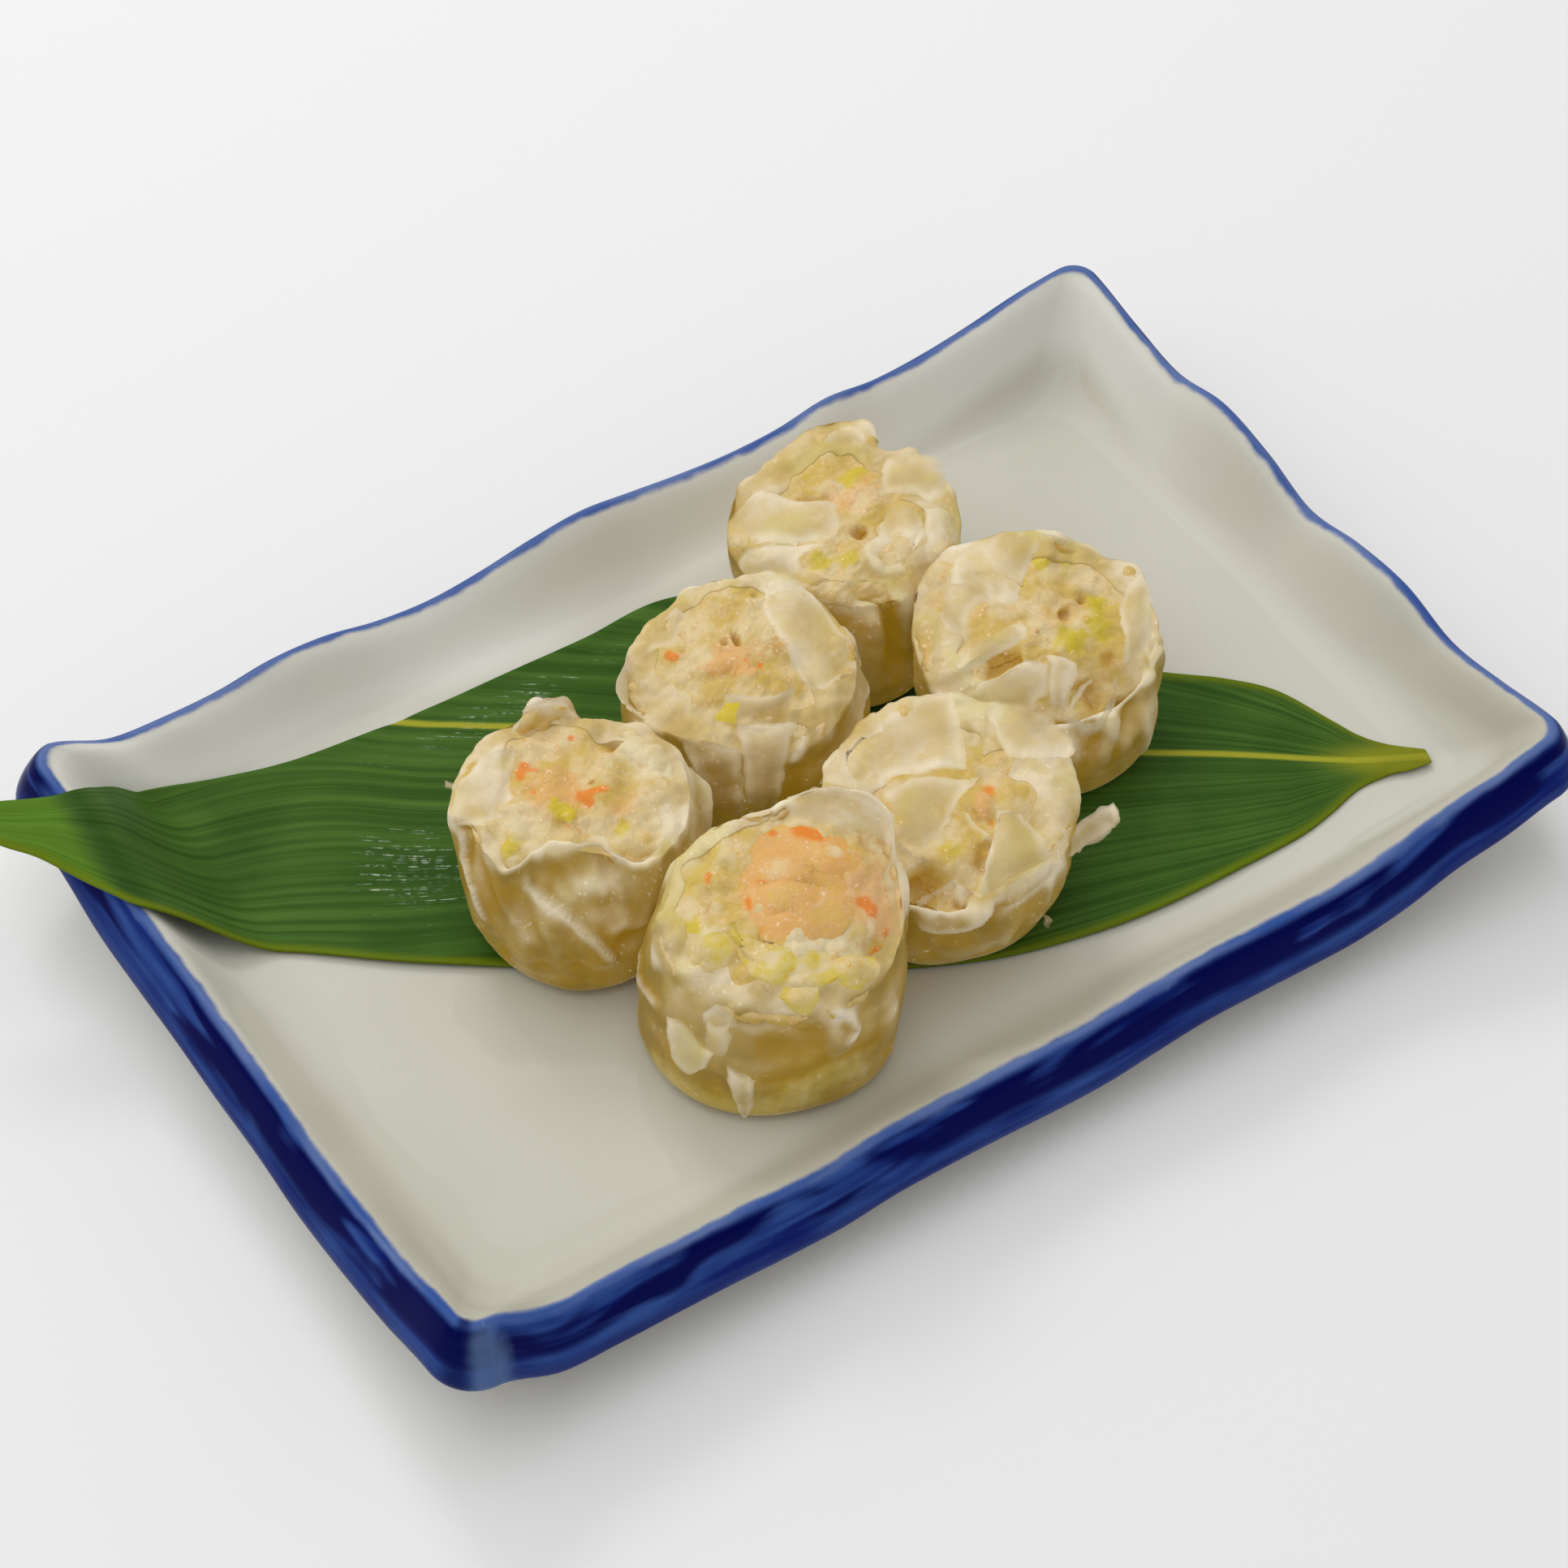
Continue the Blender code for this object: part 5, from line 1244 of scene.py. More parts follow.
            (-13.3, -7.2, 20.2, -9.7, -5.6, 22.5, -6.4, -3.6, 23.6, -3, -1.8, 23.5),
            (-12.4, -7.9, 19.3, -9.3, -6.9, 21, -6, -5.4, 22.6, -2.6, -3.7, 23.3)]),
        (0.3, 0.6, [(1.3, -12.5, 15.7, 2.4, -12.3, 15.2, 3.8, -12.1, 15.1),
            (0.7, -10.2, 19.8, 2.3, -9.9, 19.6, 4.1, -10.2, 18.8),
            (0.7, -7.2, 21.6, 2.8, -7.3, 21.5, 5, -8.1, 20.4),
            (0.3, -5.6, 22, 2.4, -6, 22.2, 4.9, -6.4, 21.3)]),
        (0, 0.4, [(3.4, -12.1, 15.6, 4.4, -12.3, 15.3), (5.1, -9.9, 18.5, 5.7, -10.3, 18),
            (7.3, -7.9, 19.8, 7.8, -7.9, 19.2)]),
        (0.1, 0.7, [(3, -13.2, 14.7, 6.1, -14, 12.2, 9.2, -13, 12.6, 11.1, -10.4, 14.7, 12.1, -7.2, 15.9),
            (3.6, -13, 16.1, 6.5, -13.9, 14.3, 9, -13.3, 14.8, 10.9, -8.8, 14.6, 11.8, -6.6, 17.5),
            (3.7, -12.9, 16.7, 6.9, -13.7, 15.6, 8.8, -13.1, 16.1, 10.3, -9.9, 17.1, 11.2, -6.1, 19)]),
        (0.1, 0.7, [(11.4, -4.8, 18.9, 13.7, -3, 18.8, 16.4, -2.3, 18.2),
            (12.5, -1.7, 21.1, 14.5, 0, 20.7, 16.9, 1.6, 19.9),
            (11.7, 4.1, 21.2, 14.1, 4.9, 22.2, 16.8, 7, 21),
            (12.4, 8.1, 22.5, 15, 12.4, 22.3, 16.5, 9.9, 21.7)]),
        (0, 0.4, [(15.5, -3.1, 18.1, 16.5, -4.8, 17.1), (17.1, -0.3, 19.1, 17.5, -2.7, 17.8),
            (18, 1.4, 20.2, 18.9, 0.1, 18.5)]),
        (0.1, 0.6, [(-7.1, -9.3, 18.2, -4.8, -9.8, 18.1, -1.8, -10.9, 16.9),
            (-6.1, -9.1, 20.7, -3.6, -9.2, 21, -0.9, -10.3, 19.8),
            (-5, -8.3, 21.6, -2.8, -7.6, 22.7, 0.4, -7.2, 21.6)]),
    ],
), dict(
    node=4, top=27,
    foot=[(0, 17), (60, 17), (120, 16.5), (180, 15.8), (-157, 15.8), (-128, 16.3), (-105, 16.9), (-86, 17.6),
        (-57, 17.4), (-30, 17)],
    waist=[(0, 18.6, 15), (20, 20, 16), (60, 18, 15), (120, 17, 15), (180, 18.3, 14), (-150, 18.4, 11),
        (-120, 17.5, 11), (-90, 17.8, 11), (-60, 17.6, 13), (-30, 18, 15)],
    mouth=[(-171, 18.9, 24), (-157, 15.8, 24), (-141, 16.7, 24), (-128, 16.6, 22.5), (-119, 12, 24),
        (-110, 9.9, 25), (-87, 9.6, 25.2), (-66, 9.5, 25), (-57, 12.2, 24), (-49, 14.8, 23.6),
        (-35, 16, 23.6), (-14, 16.5, 24), (10, 16.8, 24.5), (37, 17.3, 25), (65, 15.8, 25.5), (92, 13.8, 27),
        (101, 15.2, 30.5), (118, 15.4, 31), (128, 15.6, 28), (150, 17.5, 26)],
    edge=[(-171, 16.5, 24.5), (-141, 15, 23.8), (-120, 11.5, 24), (-90, 9.5, 24.6), (-60, 11, 23.8),
        (-30, 14.8, 23.8), (0, 15.4, 24.4), (45, 15.4, 25.5), (90, 13, 27), (135, 14.5, 27)],
    lip=[(180, 4), (150, 3), (128, 1.5), (112, 1), (92, 3), (60, 4), (30, 4.5), (0, 3.5), (-30, 1.5),
        (-55, 0), (-120, 0), (-145, 2)],
    pleats=[(50, 0.7, 2, 8), (85, 0.6, 2.2, -6), (115, 0.7, 2, 5), (150, 0.6, 2, -5)],
    skin=[
        ("spot thin", 3, 0.6, (-9.3, 11.7, 27.8, -5.7, 13.6, 29.6, -2, 13.8, 28.3)),
        ("spot thin", 3, 0.5, (-13.3, 0.1, 25.9, -13, 4.1, 26.8, -11.1, 7.8, 28.3)),
        ("spot thin", 2.5, 0.5, (14.6, 0.8, 25.1, 15.8, -3, 24.1, 13.6, -8, 24.1)),
        ("layer", 4, 1.4, (7.4, -16.5, 7.9, 4, -16.6, 12.8, 1.9, -16.2, 14.7, -0.6, -15.2, 16.9,
            -3.8, -13.5, 17.9, -6.3, -12.3, 19.7, -6.8, -11.6, 21.9)),
        ("ridge", 1, 0.6, (-4.3, -14.9, 15.7, -3.5, -16.5, 13.4, -2.4, -17.6, 10.8, -1.1, -18.1, 8.1)),
        ("ridge", 1.1, 0.9, (4.9, -15.7, 14.1, 6.4, -15.5, 13.5, 7.9, -14.9, 14.4, 9.7, -14.2, 13.3,
            12.1, -12.9, 14.4)),
        ("ridge", 2, -1.3, (6.8, -15.9, 12.4, 8.9, -15.3, 10.8, 11, -13.6, 11.3)),
        ("ridge", 1.4, -0.8, (-6.2, -16.5, 4.4, -4.3, -17.6, 6.7, -2.4, -17.9, 5.7)),
        ("ridge", 1.5, -0.8, (0.1, -18.1, 8.7, 2.6, -17.9, 6.6, 3.8, -17.5, 6.8)),
        ("ridge", 1, -1, (-14.9, -6.9, 24.6, -14.2, -9.2, 21.1, -12.2, -12.2, 17.6, -10.6, -13.4, 15.3)),
        ("layer", 1.5, 0.8, (-12, -13.3, 10.2, -14.2, -10.9, 15.9, -16.1, -6.1, 17.1, -16.4, -5, 23.1)),
        ("ridge", 1, 0.6, (-12.2, -11.7, 19.5, -9.7, -13.6, 15.7, -7.4, -15.7, 12.6)),
        ("ridge", 1.2, -0.6, (-9.6, -13.3, 21.1, -6.9, -14.2, 15.6, -4.9, -16.8, 11.6)),
        ("ridge", 2.2, -1.1, (-4.8, -11.7, 20.9, -1.4, -12, 21.1, 3.3, -10.2, 23.6, 7.1, -11.5, 21.7)),
        ("ridge", 3, 0.7, (-5.2, -10.8, 23.3, -1.5, -10.2, 23.3, 1.2, -10.4, 23.7)),
        ("ridge", 1.5, 0.6, (-2.6, -12.4, 20.3, -0.2, -12.5, 20.8, 3.5, -13, 20.3, 6.3, -13.1, 18.3)),
        ("ridge", 1.2, -0.5, (-0.1, -14.3, 18.2, 2.4, -14.9, 17.2, 4.8, -14.4, 16.9, 7.8, -13.4, 17.8)),
    ],
    filling=[
        ("spot orange", 0.9, 1.2, (-8.2, 5.2, 26.9, -8.6, 3.2, 26.4, -8.6, 1.2, 26.3)),
        ("spot orange", 0.5, 0.9, (-7.8, 3.9, 26.5, -5.6, 3.2, 27)),
        ("spot orange", 0.4, 0.9, (-6.6, 0.2, 26.6, -6.3, -1.1, 26.5)),
        ("spot orange", 1, 1.2, (-0.4, -0.3, 26.4, 1.6, -1.5, 26.5, 2.2, -2.8, 26.1)),
        ("spot orange", 0.6, 1.1, (0.8, -0.1, 26.7, 3.6, -0.4, 27.7, 5.1, 0.3, 27.3)),
        ("spot orange", 0.4, 0.9, (-2.2, 10, 27.3, -1.2, 9.5, 27.1)),
        ("chunk green", 1.3, 0.4, (-2.9, -3.1, 26.6, -1.3, -4.5, 26.5)),
        ("spot orange", 0.4, 0.7, (-1.8, -6.2, 25.8, -0.7, -6.4, 26.4)),
        ("spot green", 2.2, 1, (-10.8, -8.7, 24.1, -8.2, -10.6, 23.8)),
        ("spot white", 2, 0.7, (-10.6, -12, 23.4, -7.5, -12, 22.6)),
        ("spot green", 1.8, 0.8, (5.8, -5.2, 25.1, 8.3, -5.9, 25.1)),
        ("ridge", 1.4, -1.8, (4.7, 11.1, 26.9, 4.8, 9.5, 26.6, 5.5, 8.6, 26.5)),
        ("spot pink", 4.2, 0.8, (-8.3, -1.7, 26.4, -3.4, -0.3, 27.1, 1.3, 1.9, 26.7)),
        ("spot pink", 3.2, 0.6, (5.5, -1, 26.6, 8.4, -3.7, 25.8)),
        ("spot white", 3, 0.9, (14, 1.7, 25.9, 15.1, -2.1, 24.4, 13.2, -6.8, 24.6)),
        ("spot white", 4, 0.6, (5.7, 10.6, 26.3, 9.6, 7.1, 26, 10.5, 3.1, 26)),
        ("spot white", 3, 0.5, (-11.1, -4.3, 25.5, -7.3, -6.6, 24.7, -4.1, -8.9, 24.9)),
        ("chunk white", 2, 0.6, (7, 9.8, 26.9, 10.8, 8.3, 26.6, 12.2, 6.3, 25.2)),
        ("spot deep", 0.3, 1, (10.7, 7.1, 26.3, 11, 6.9, 26.3)),
        ("spot deep", 0.3, 1, (12.5, 8.1, 25.6, 12.7, 8, 25.4)),
        ("spot deep", 0.35, 1, (1.4, 1.2, 26.7, 2.7, 1.7, 27.5)),
        ("ridge", 1.5, -0.6, (-3.1, -5.2, 26.3, -0.5, -6.7, 26.4, 1.2, -5.5, 25.9)),
    ],
    sheets=[
        (0.1, 0.7, [(-14.2, 6.9, 26.8, -12.3, 3, 25.8, -11.5, -0.5, 24.8, -11.1, -5.4, 24.9),
            (-16.3, 3, 26, -15.2, -0.1, 25.9, -14.6, -3.3, 25.9, -13.7, -6.9, 26),
            (-18.8, 1.7, 24.4, -18.8, -0.4, 24.1, -18.4, -4, 24.6, -17.4, -4.9, 23)]),
        (0, 0.4, [(-17.1, 0.8, 24.7, -17.9, 0.1, 24.1), (-19, 1.8, 25.3, -19.2, 1.2, 24.2),
            (-20, 2.1, 25.5, -19.8, 1.2, 24.3)]),
        (0.1, 0.6, [(-11.2, 8.6, 27.9, -7.7, 11.7, 26.5, -3.1, 12.3, 27.5, -0.1, 13.3, 27.8),
            (-9.6, 12.3, 28.5, -7.7, 12.4, 29.9, -4.4, 13, 29.5, -1.3, 13.8, 28.3),
            (-8.6, 12.8, 30.1, -6.9, 13.1, 30.8, -3.5, 14.3, 30.3, -2.5, 14.3, 29.8)]),
        (0.1, 0.6, [(-15, 5.1, 25.5, -15.6, 1.3, 25.1, -15, -2.6, 25.1, -13.1, -6.8, 25.5),
            (-11.9, 5.9, 28.2, -12.3, 2.5, 26.4, -12.2, -1.8, 26.2, -11.1, -5.1, 25.5),
            (-9.5, 8.3, 27.4, -9.6, 5.2, 26.8, -10.1, 2.1, 25.7, -8.6, -3.5, 26.6)]),
        (0, 0.8, [
            (-6.7, -11.3, 21.6, -5.3, -10.3, 23.8, -2.8, -9.6, 24.2, 0, -9.8, 24.4, 3.4, -8.9, 24.6,
                6.1, -10.7, 23, 8.5, -11.4, 22.8, 11.3, -10.7, 23.2, 14.2, -7.5, 23.9, 16.2, -2.8, 23.8),
            (-7.4, -11.3, 23.7, -6.2, -9.3, 24.5, -3, -9.2, 25.6, -0.1, -9.3, 25.7, 3.7, -7.3, 25,
                6.6, -9.9, 24.8, 8.5, -10.3, 23.9, 11.2, -9.4, 24, 13.8, -6.3, 24.8, 15.7, -0.7, 24.2)]),
        (0.3, 0.7, [(16.8, -4.1, 20.2, 18.3, -1.7, 17.3, 19.5, 2.6, 14.4),
            (16.4, -0.8, 24.4, 18.5, 2.7, 20.4, 20.2, 4.8, 18.5),
            (15.5, 8.2, 23.9, 17.1, 9, 21.4, 19.2, 7.6, 19.4)]),
    ],
), dict(
    node=5, top=26.5,
    foot=[(0, 16.5), (90, 16.5), (180, 16.5), (-90, 16)],
    waist=[(0, 20, 12), (45, 18.6, 14), (90, 17.5, 14), (135, 17, 14), (180, 18.6, 15), (-150, 18.6, 14),
        (-120, 17, 13), (-90, 16.5, 13), (-60, 17.5, 12), (-30, 19.2, 12)],
    mouth=[(172, 17.6, 23.5), (-171, 18, 21), (-150, 17, 20), (-118, 15.5, 21.5), (-90, 14.8, 20.5),
        (-60, 15.5, 20), (-30, 17, 21), (10, 17.6, 23), (35, 17.4, 24), (57, 17.2, 25), (77, 17.6, 26),
        (110, 16, 26), (135, 15.8, 25)],
    edge=[(172, 16, 24), (-150, 15, 21), (-118, 13.5, 22), (-90, 12.8, 21.5), (-60, 13.5, 21),
        (-30, 15.5, 22), (10, 16, 23.5), (57, 15.8, 25), (90, 15.4, 26), (135, 14.6, 25.5)],
    lip=[(180, 3), (-150, 5), (-120, 4), (-90, 2), (-60, 3), (-30, 4), (0, 5), (30, 5), (60, 3), (90, 2),
        (120, 2), (150, 3)],
    pleats=[(50, 0.6, 2, 6), (85, 0.6, 2.2, -6), (120, 0.7, 2, 5), (160, 0.6, 2, -5), (20, 0.4, 2.5, 4)],
    skin=[
        ("ridge", 1.2, 0.6, (2.7, -11.5, 22.8, 3.3, -15.3, 18.6, 4.1, -16.3, 8.8)),
        ("ridge", 1, -0.6, (5.2, -11.6, 21.8, 5.8, -15, 18.4, 6.4, -15.8, 10.6)),
        ("ridge", 1.4, -1, (8.8, -13.7, 18, 9.4, -14.5, 13.7, 9.3, -14.4, 6.9)),
        ("ridge", 1, -1.8, (9.3, -10.3, 22.2, 9, -11.5, 21.2)),
        ("layer", 2.5, 0.9, (10.2, -10.6, 22.2, 9, -12.2, 20.6, 8.3, -13.6, 19.1, 7.8, -14.4, 17.4)),
        ("ridge", 1.5, -0.4, (11.3, -13.5, 14.9, 14.5, -10.2, 17.8, 16.6, -6, 19.7)),
        ("layer", 2, 0.6, (16.8, -8, 16.3, 18.6, -3, 17.7, 19.7, 3.7, 17.6)),
        ("ridge", 1.5, 0.5, (-5, -14.4, 20.4, -3.8, -15.3, 17.2, -1.4, -16.3, 12.4)),
        ("ridge", 3, -0.8, (-4.9, -15.3, 15.8, -2.5, -16.1, 11.2)),
    ],
    filling=[
        ("spot orange", 0.6, 1.5, (-12.1, 0.7, 25, -10.8, -0.2, 25.4, -9.6, -0.6, 25.6)),
        ("spot orange", 0.6, 1.3, (2.2, -1.3, 25.9, 3.1, -1.8, 25.7)),
        ("spot orange", 0.4, 0.8, (0, -1, 26.5, 0.8, -1.3, 26.3)),
        ("spot pink", 3.6, 0.9, (-4.6, -1.8, 25.8, -1.3, -0.6, 26.4, 0, -2.9, 25.7)),
        ("chunk pink", 1.3, 0.5, (-4.6, -2.5, 25.6, -1.8, -1.6, 26.1, 1.1, -2.9, 25.9)),
        ("ridge", 1.2, -2, (-1.9, 3.1, 26.5, -0.4, 3.4, 26.1)),
        ("ridge", 0.7, -1, (-3.7, 2.1, 26.7, -2.3, 2.7, 26.6)),
        ("ridge", 0.6, -0.7, (-10.2, 6.6, 25.6, -9.3, 3, 25.7, -9.5, -0.5, 25.8)),
        ("spot green", 1.2, 0.9, (-11, 12.2, 25.6, -10.7, 10.7, 26)),
        ("spot green", 1.3, 0.8, (-2.1, 14.1, 26.9, -1.2, 13.9, 26.8)),
        ("ridge", 2, -1, (-8.9, -10.9, 22.1, -5.2, -11.9, 22.7)),
        ("ridge", 0.8, -0.7, (1, 13.3, 26, 1.4, 12.4, 26)),
        ("ridge", 0.5, -0.5, (5, 11.4, 25.7, 5.2, 10.9, 25.7)),
        ("spot white", 3, 0.6, (1.9, 14, 25.6, 3.4, 10.9, 25.7)),
        ("spot deep", 2, 0.6, (3.7, 4.5, 26.3, 5.6, 0.4, 25.9)),
        ("spot pink", 1.6, 0.7, (-14.6, -1.1, 23.9, -13.9, -2.9, 23.8)),
    ],
    sheets=[
        (0.75, 0.9, [(1.9, -16.3, 7.5, 4.2, -15.8, 7.4, 6.3, -15, 7.7),
            (1.5, -17.2, 14.2, 4.3, -17.2, 14.5, 6.8, -16.1, 14.1),
            (0.8, -15.8, 19.8, 4.1, -15.8, 20.6, 7.5, -14.6, 19.7),
            (-0.2, -11.5, 23, 3.8, -11.3, 23.5, 8.2, -10.3, 23)]),
        (0.85, 0.9, [(-2.4, -16, 7, -0.4, -16.1, 6.7, 1.5, -16.3, 7.3),
            (-4.8, -16.1, 12.7, -1.9, -16.6, 12.8, 1.1, -17.2, 13.6),
            (-7.2, -15, 18.4, -3.5, -15.8, 19.1, 0.6, -16, 18.8),
            (-9.2, -13.2, 21.5, -4.5, -14.3, 22.4, 0.2, -14.7, 21.5)]),
        (0, 0.7, [(4.1, 17.1, 26.1, 5.6, 17.7, 26.1, 7.6, 16.4, 25.6),
            (2.6, 10.6, 25.9, 6.2, 11.6, 27.3, 11.2, 12.6, 24.8),
            (6.3, 1.1, 27.3, 10.3, 5.9, 25.2, 16, 5.6, 24.7),
            (8.5, -2.4, 25.3, 12.5, -1.2, 24.8, 18.3, 6.8, 18.8),
            (10.6, -4.3, 24, 12.9, -4.4, 24.7, 16.8, 0.6, 23.5)]),
        (0, 0.6, [(-13.3, 6.9, 25.4, -14.6, 4.7, 24.8, -15.4, 0.7, 24),
            (-10.9, 8.8, 26.5, -11.5, 4.6, 25.9, -12.5, 1.2, 25.4),
            (-9, 8.5, 25.9, -10, 6.1, 25.7, -10.4, 1.9, 25.6)]),
        (0.2, 0.6, [(-14.9, -0.3, 23.5, -15, -4.1, 21.7, -12.7, -9.2, 20.8),
            (-17.5, -0.2, 23.1, -18, -1.8, 18.9, -15.6, -7.4, 19.3),
            (-17.7, 2.6, 24.1, -19.3, -0.4, 17.6, -17.1, -5.8, 18.7)]),
        (0.6, 0.6, [(-3.5, -10.6, 22.5, 3.8, -10.5, 22.5, 8.3, -9.7, 22.4),
            (-2.5, -8.6, 23.9, 3.7, -9.1, 24.9, 8.3, -6.4, 24.2),
            (-2.4, -6.9, 25.2, 4.2, -7.5, 25.3, 8.2, -4.3, 25.1)]),
        (0.3, 0.6, [(0.1, -12.7, 21.5, 3.9, -12.9, 21.5, 8.2, -11.6, 20.8),
            (-0.1, -11.5, 22.6, 3.9, -12.1, 23, 8.3, -10.9, 22.5),
            (-0.2, -11.1, 23.1, 3.8, -11.7, 23.2, 8.3, -10.2, 22.9)]),
    ],
    bits=[
        ("green", 0.5, [(-3.6, -11.2, 23.4, -0.7, -11.3, 23.5), (-3.1, -9, 23.8, -0.3, -10, 24.8),
            (-1.7, -8.1, 25, -0.1, -8.2, 25.2)]),
    ],
), dict(
    node=6, top=23,
    foot=[(-76, 21.5), (-62, 21), (-30, 18), (0, 16), (60, 15), (120, 14), (180, 14), (-120, 18)],
    waist=[(10, 18.4, 13), (60, 17.5, 13), (120, 17, 13), (180, 17.5, 12), (-150, 18, 11), (-105, 18.6, 10),
        (-76, 19.4, 10), (-50, 18.4, 10), (-20, 18, 12)],
    mouth=[(180, 18.8, 19), (166, 18.6, 21), (145, 17.2, 22), (129, 17.4, 22), (112, 19.4, 23),
        (100, 20.8, 23), (84, 20.6, 23), (73, 16.4, 22), (53, 18.4, 22), (32, 18.4, 21.5), (10, 18.7, 19.5),
        (-15, 17.5, 18), (-50, 16.5, 18.5), (-85, 16, 19), (-125, 15.6, 19), (-153, 18, 17.5)],
    edge=[(180, 16.5, 20), (135, 15.8, 22), (90, 15.8, 22.5), (45, 16, 21.5), (0, 16.2, 20), (-45, 14, 19.5),
        (-90, 13.5, 20), (-135, 14, 20)],
    lip=[(180, 7), (150, 6), (120, 4), (90, 3), (60, 5), (30, 5), (0, 4), (-30, 3), (-60, 2), (-90, 2),
        (-120, 3), (-150, 6)],
    pleats=[(50, 0.6, 2, 6), (85, 0.7, 2.2, -6), (120, 0.6, 2, 5), (160, 0.6, 2, -5), (20, 0.6, 2.2, 4),
        (-10, 0.5, 2, 5)],
    skin=[
        ("spot deep", 1, 1.3, (1.8, -14.2, 19.6, 3.9, -13.5, 19.8, 5.8, -13.6, 19.2, 7.2, -15, 17.1,
            8.3, -16, 12.5, 9.1, -18.4, 3.2)),
        ("spot deep", 3, 0.6, (-3.9, -11.8, 21.2, -1.2, -14.7, 19.8, -0.2, -17.6, 13.6)),
        ("ridge", 1.1, -2.4, (1.8, -14.2, 19.6, 3.9, -13.5, 19.8, 5.8, -13.6, 19.2, 7.2, -15, 17.1,
            8.3, -16, 12.5, 9, -17.7, 4.9)),
        ("ridge", 2.8, 1, (4, -15.9, 17.7, 5.3, -17.7, 11.9, 6.4, -20.1, 2.5)),
        ("ridge", 1.5, 0.6, (9.7, -9.8, 20, 10.1, -14.3, 15.5, 10.3, -15.9, 7.8)),
        ("ridge", 2, -0.6, (-3.8, -12.9, 21, -1.2, -14.7, 19.8, 0.9, -16.2, 16.9)),
    ],
    filling=[
        ("spot green", 1.4, 1.2, (-1.7, 8.9, 22.4, 0, 7.3, 23.1, 1.2, 9.9, 22.9, 3.4, 12.2, 22.1)),
        ("spot green", 0.8, 1, (-7, 9, 22.4, -6.3, 8.6, 22.3)),
        ("spot green", 1.6, 1.1, (-5.6, -7.5, 21.6, -3.3, -9.2, 21.2, -2.6, -10.4, 20.7)),
        ("spot green", 1.6, 0.9, (-0.2, -7.1, 22, 1.1, -10.2, 21.7)),
        ("ridge", 1, -2.2, (2.9, -1.7, 22.6, 1.5, -4.2, 22.2)),
        ("spot pink", 3, 0.6, (-4.4, 4.1, 22.9, 0.1, 3.4, 23, 5.1, 9.2, 23)),
        ("ridge", 1.2, -0.8, (-8.9, 3.5, 22.3, -4.4, 3, 22.7, -1.9, 4.5, 22.7)),
        ("spot deep", 1.4, 0.8, (2.5, -2.1, 22.4, 1.6, -4, 22.1)),
        ("spot orange", 0.8, 0.5, (6.4, 9.9, 22.3, 9.7, 5.9, 22.1, 11.4, 5.4, 21.8)),
    ],
    sheets=[
        (0, 0.6, [(-4.7, 13.5, 23, -0.2, 15.1, 22.7, 3.7, 14.4, 22.2),
            (-3.9, 16.2, 23.5, -0.3, 17.1, 23.3, 3, 15.5, 23.4),
            (-2.3, 18.5, 23.2, 0.3, 19.6, 23.2, 2.3, 17.5, 23.6)]),
        (0.15, 0.8, [(-17.5, 2.2, 19.4, -18.6, -1.1, 18.5, -19.1, -3.3, 16.6),
            (-13.8, 5, 22.3, -13.9, 0.4, 21.5, -14.3, -5.6, 21.3),
            (-7.6, 2.8, 22.6, -7.5, -2, 23.1, -7.9, -5.9, 22),
            (-1.8, 2.9, 22.6, -1.1, -1, 23, -1.3, -4.9, 22.3)]),
        (0, 0.8, [(-15, -9.2, 17.3, -11.2, -10.4, 18.9, -7.3, -12.3, 19.8),
            (-16.7, -7.2, 18.1, -12.2, -8.7, 21, -7.2, -9, 21.7),
            (-15.4, -6, 20.7, -9.8, -6.5, 21.6, -2.8, -6.2, 22.5)]),
        (0, 0.8, [(3.6, -4.6, 21.4, 2.3, -8, 22.2, 3.4, -10.1, 20.8, 5.7, -11.3, 19.9, 8.9, -10.3, 20),
            (5.4, -3.6, 22.4, 3.6, -8.1, 23.3, 4.6, -10.4, 22.2, 6.6, -11.2, 21.3, 9.4, -9.7, 21.2),
            (7.3, -4.4, 22.5, 5.5, -7.1, 22.4, 5.6, -9, 22.1, 6.9, -9.5, 21.3, 8.8, -8.2, 21)]),
        (0, 0.8, [(4.7, 0.2, 22.1, 8.2, 4.7, 21.3, 11.8, 3.1, 21.4, 13.1, -1.6, 20.9),
            (5.1, -3.6, 22.4, 8.2, 0, 22.6, 11.2, -0.8, 21.7, 11.8, -4.8, 22.2),
            (6.8, -5.2, 21.9, 8.3, -3.7, 22.7, 9.9, -4.6, 22.8, 10.6, -6.3, 21.9)]),
        (0, 0.7, [(6.3, 14.8, 22, 11.2, 15.3, 22.3, 15.1, 13.4, 22.6, 15.9, 9.3, 21.3),
            (5.4, 10, 22.6, 8.9, 9.3, 23.6, 12.5, 9.9, 22.8, 15.6, 7.1, 21.3),
            (5.2, 5, 22.7, 8.1, 5.9, 22.4, 10.7, 5.8, 22.2, 13, 4.1, 21.9)]),
        (0.1, 0.8, [(13.2, -5.5, 20.4, 16.5, -4.1, 19.6, 18.4, -0.2, 17.9),
            (12.5, -1.6, 21.7, 15.7, -0.3, 21.1, 18.6, 2.1, 17.4),
            (12.4, 2.8, 21.8, 14.6, 3.7, 21.9, 17.3, 2.6, 20.5)]),
    ],
)]


# Set


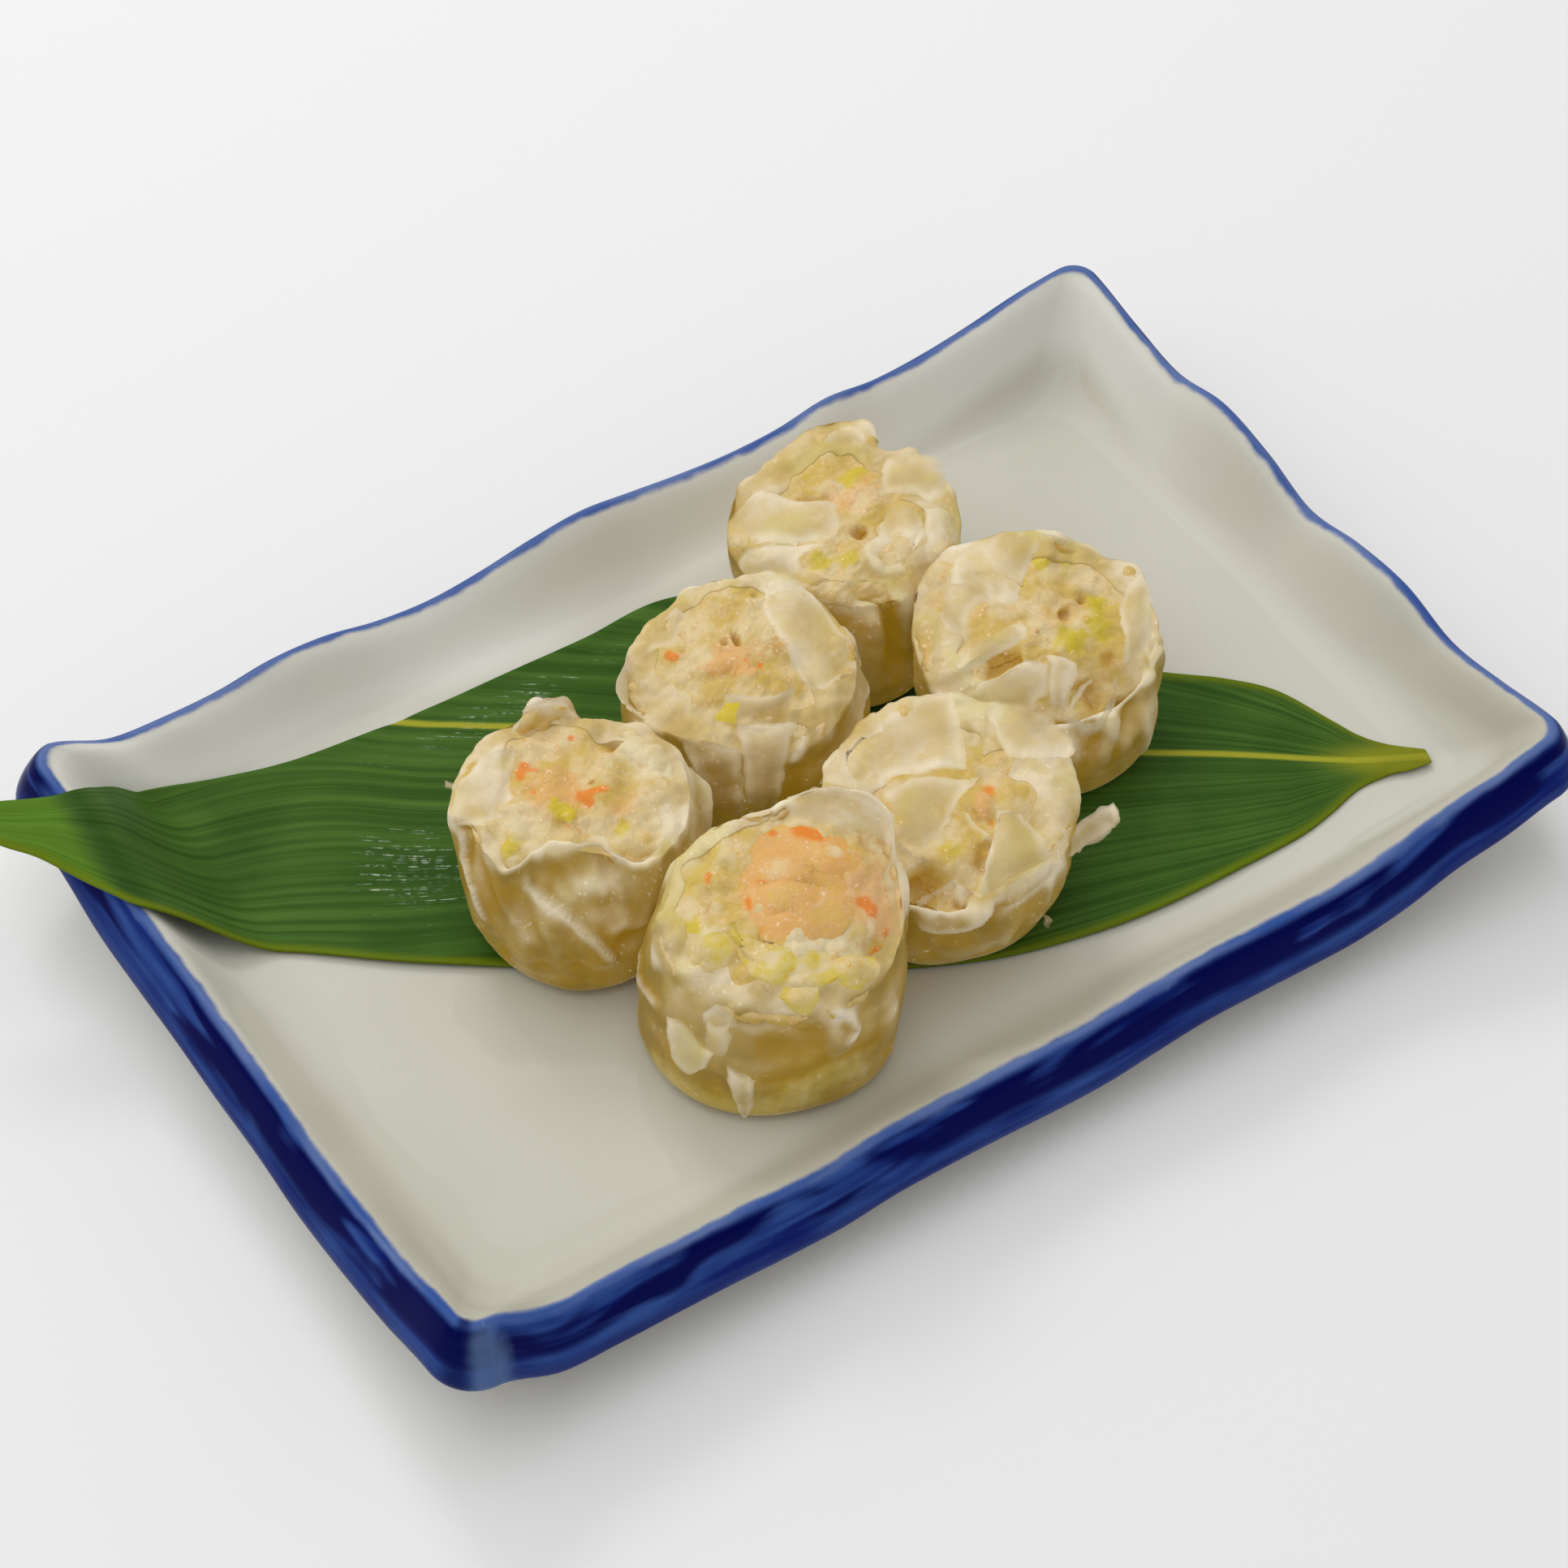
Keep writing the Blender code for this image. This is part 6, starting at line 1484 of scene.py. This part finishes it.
def make_floor():
    paper = Finish("studio_floor", Roughness=0.7, Specular_IOR_Level=0.2)
    colour = paper.paint(srgb(243, 243, 243), (paper.noise(0.5, 2), srgb(245, 245, 245)))
    mesh = bpy.data.meshes.new("studio_floor")
    reach = 2.5
    corners = [(-reach, -reach, 0), (reach, -reach, 0), (reach, reach, 0), (-reach, reach, 0)]
    mesh.from_pydata(corners, [], [(0, 1, 2, 3)])
    mesh.materials.append(paper.show(Base_Color=colour))
    floor = bpy.data.objects.new("studio_floor", mesh)
    bpy.context.scene.collection.objects.link(floor)


def add_lamp(name, place, width, height, power):
    """A softbox that faces the plate."""
    data = bpy.data.lights.new(name, "AREA")
    data.shape = "RECTANGLE"
    data.size, data.size_y = width, height
    data.energy = power
    lamp = bpy.data.objects.new(name, data)
    lamp.location = place
    lamp.rotation_euler = (-Vector(place)).to_track_quat("-Z", "Y").to_euler()
    bpy.context.scene.collection.objects.link(lamp)
    return lamp


def make_light():
    world = bpy.data.worlds.new("studio")
    world.use_nodes = True
    background = world.node_tree.nodes["Background"]
    background.inputs["Color"].default_value = (1, 1, 1, 1)
    background.inputs["Strength"].default_value = 0.5
    bpy.context.scene.world = world
    add_lamp("ceiling_softbox", (-0.35, 0.35, 1.25), 2.0, 1.8, 10)
    add_lamp("back_softbox", (0.2, 0.95, 0.85), 0.4, 0.3, 3).visible_glossy = False
    bpy.context.scene.view_settings.view_transform = "Standard"


def make_camera():
    """Level with a seated diner's eye, near the plate's left corner, with a long lens."""
    away = Vector((0.38450, 0.51810, -0.76402))
    right = Vector((0.82424, -0.56537, 0.03140))
    data = bpy.data.cameras.new("camera")
    data.sensor_width = 36
    data.lens = 96.785
    camera = bpy.data.objects.new("camera", data)
    bpy.context.scene.collection.objects.link(camera)
    facing = Matrix((right, right.cross(away), -away)).transposed().to_4x4()
    place = Vector((PLATE_X - 0.25512, PLATE_Y - 0.33891, 0.51807))
    camera.matrix_world = Matrix.Translation(place) @ facing
    bpy.context.scene.camera = camera


make_plate()
make_leaf()
skin_material = dough_finish("wrapper_skin", srgb(200, 172, 104), srgb(228, 210, 176), 1)
flap_material = dough_finish("wrapper_flaps", srgb(206, 182, 128), srgb(232, 218, 190), 0)
filling_material = filling_finish("filling_mince", srgb(206, 174, 90), srgb(222, 200, 152))
shrimp_material = filling_finish("shrimp_flesh", srgb(212, 168, 76), srgb(222, 182, 98))
for each in DUMPLINGS:
    make_skin(each, skin_material, flap_material)
    make_filling(each, filling_material)
    if "shrimp" in each:
        make_shrimp(each, shrimp_material)
make_floor()
make_light()
make_camera()
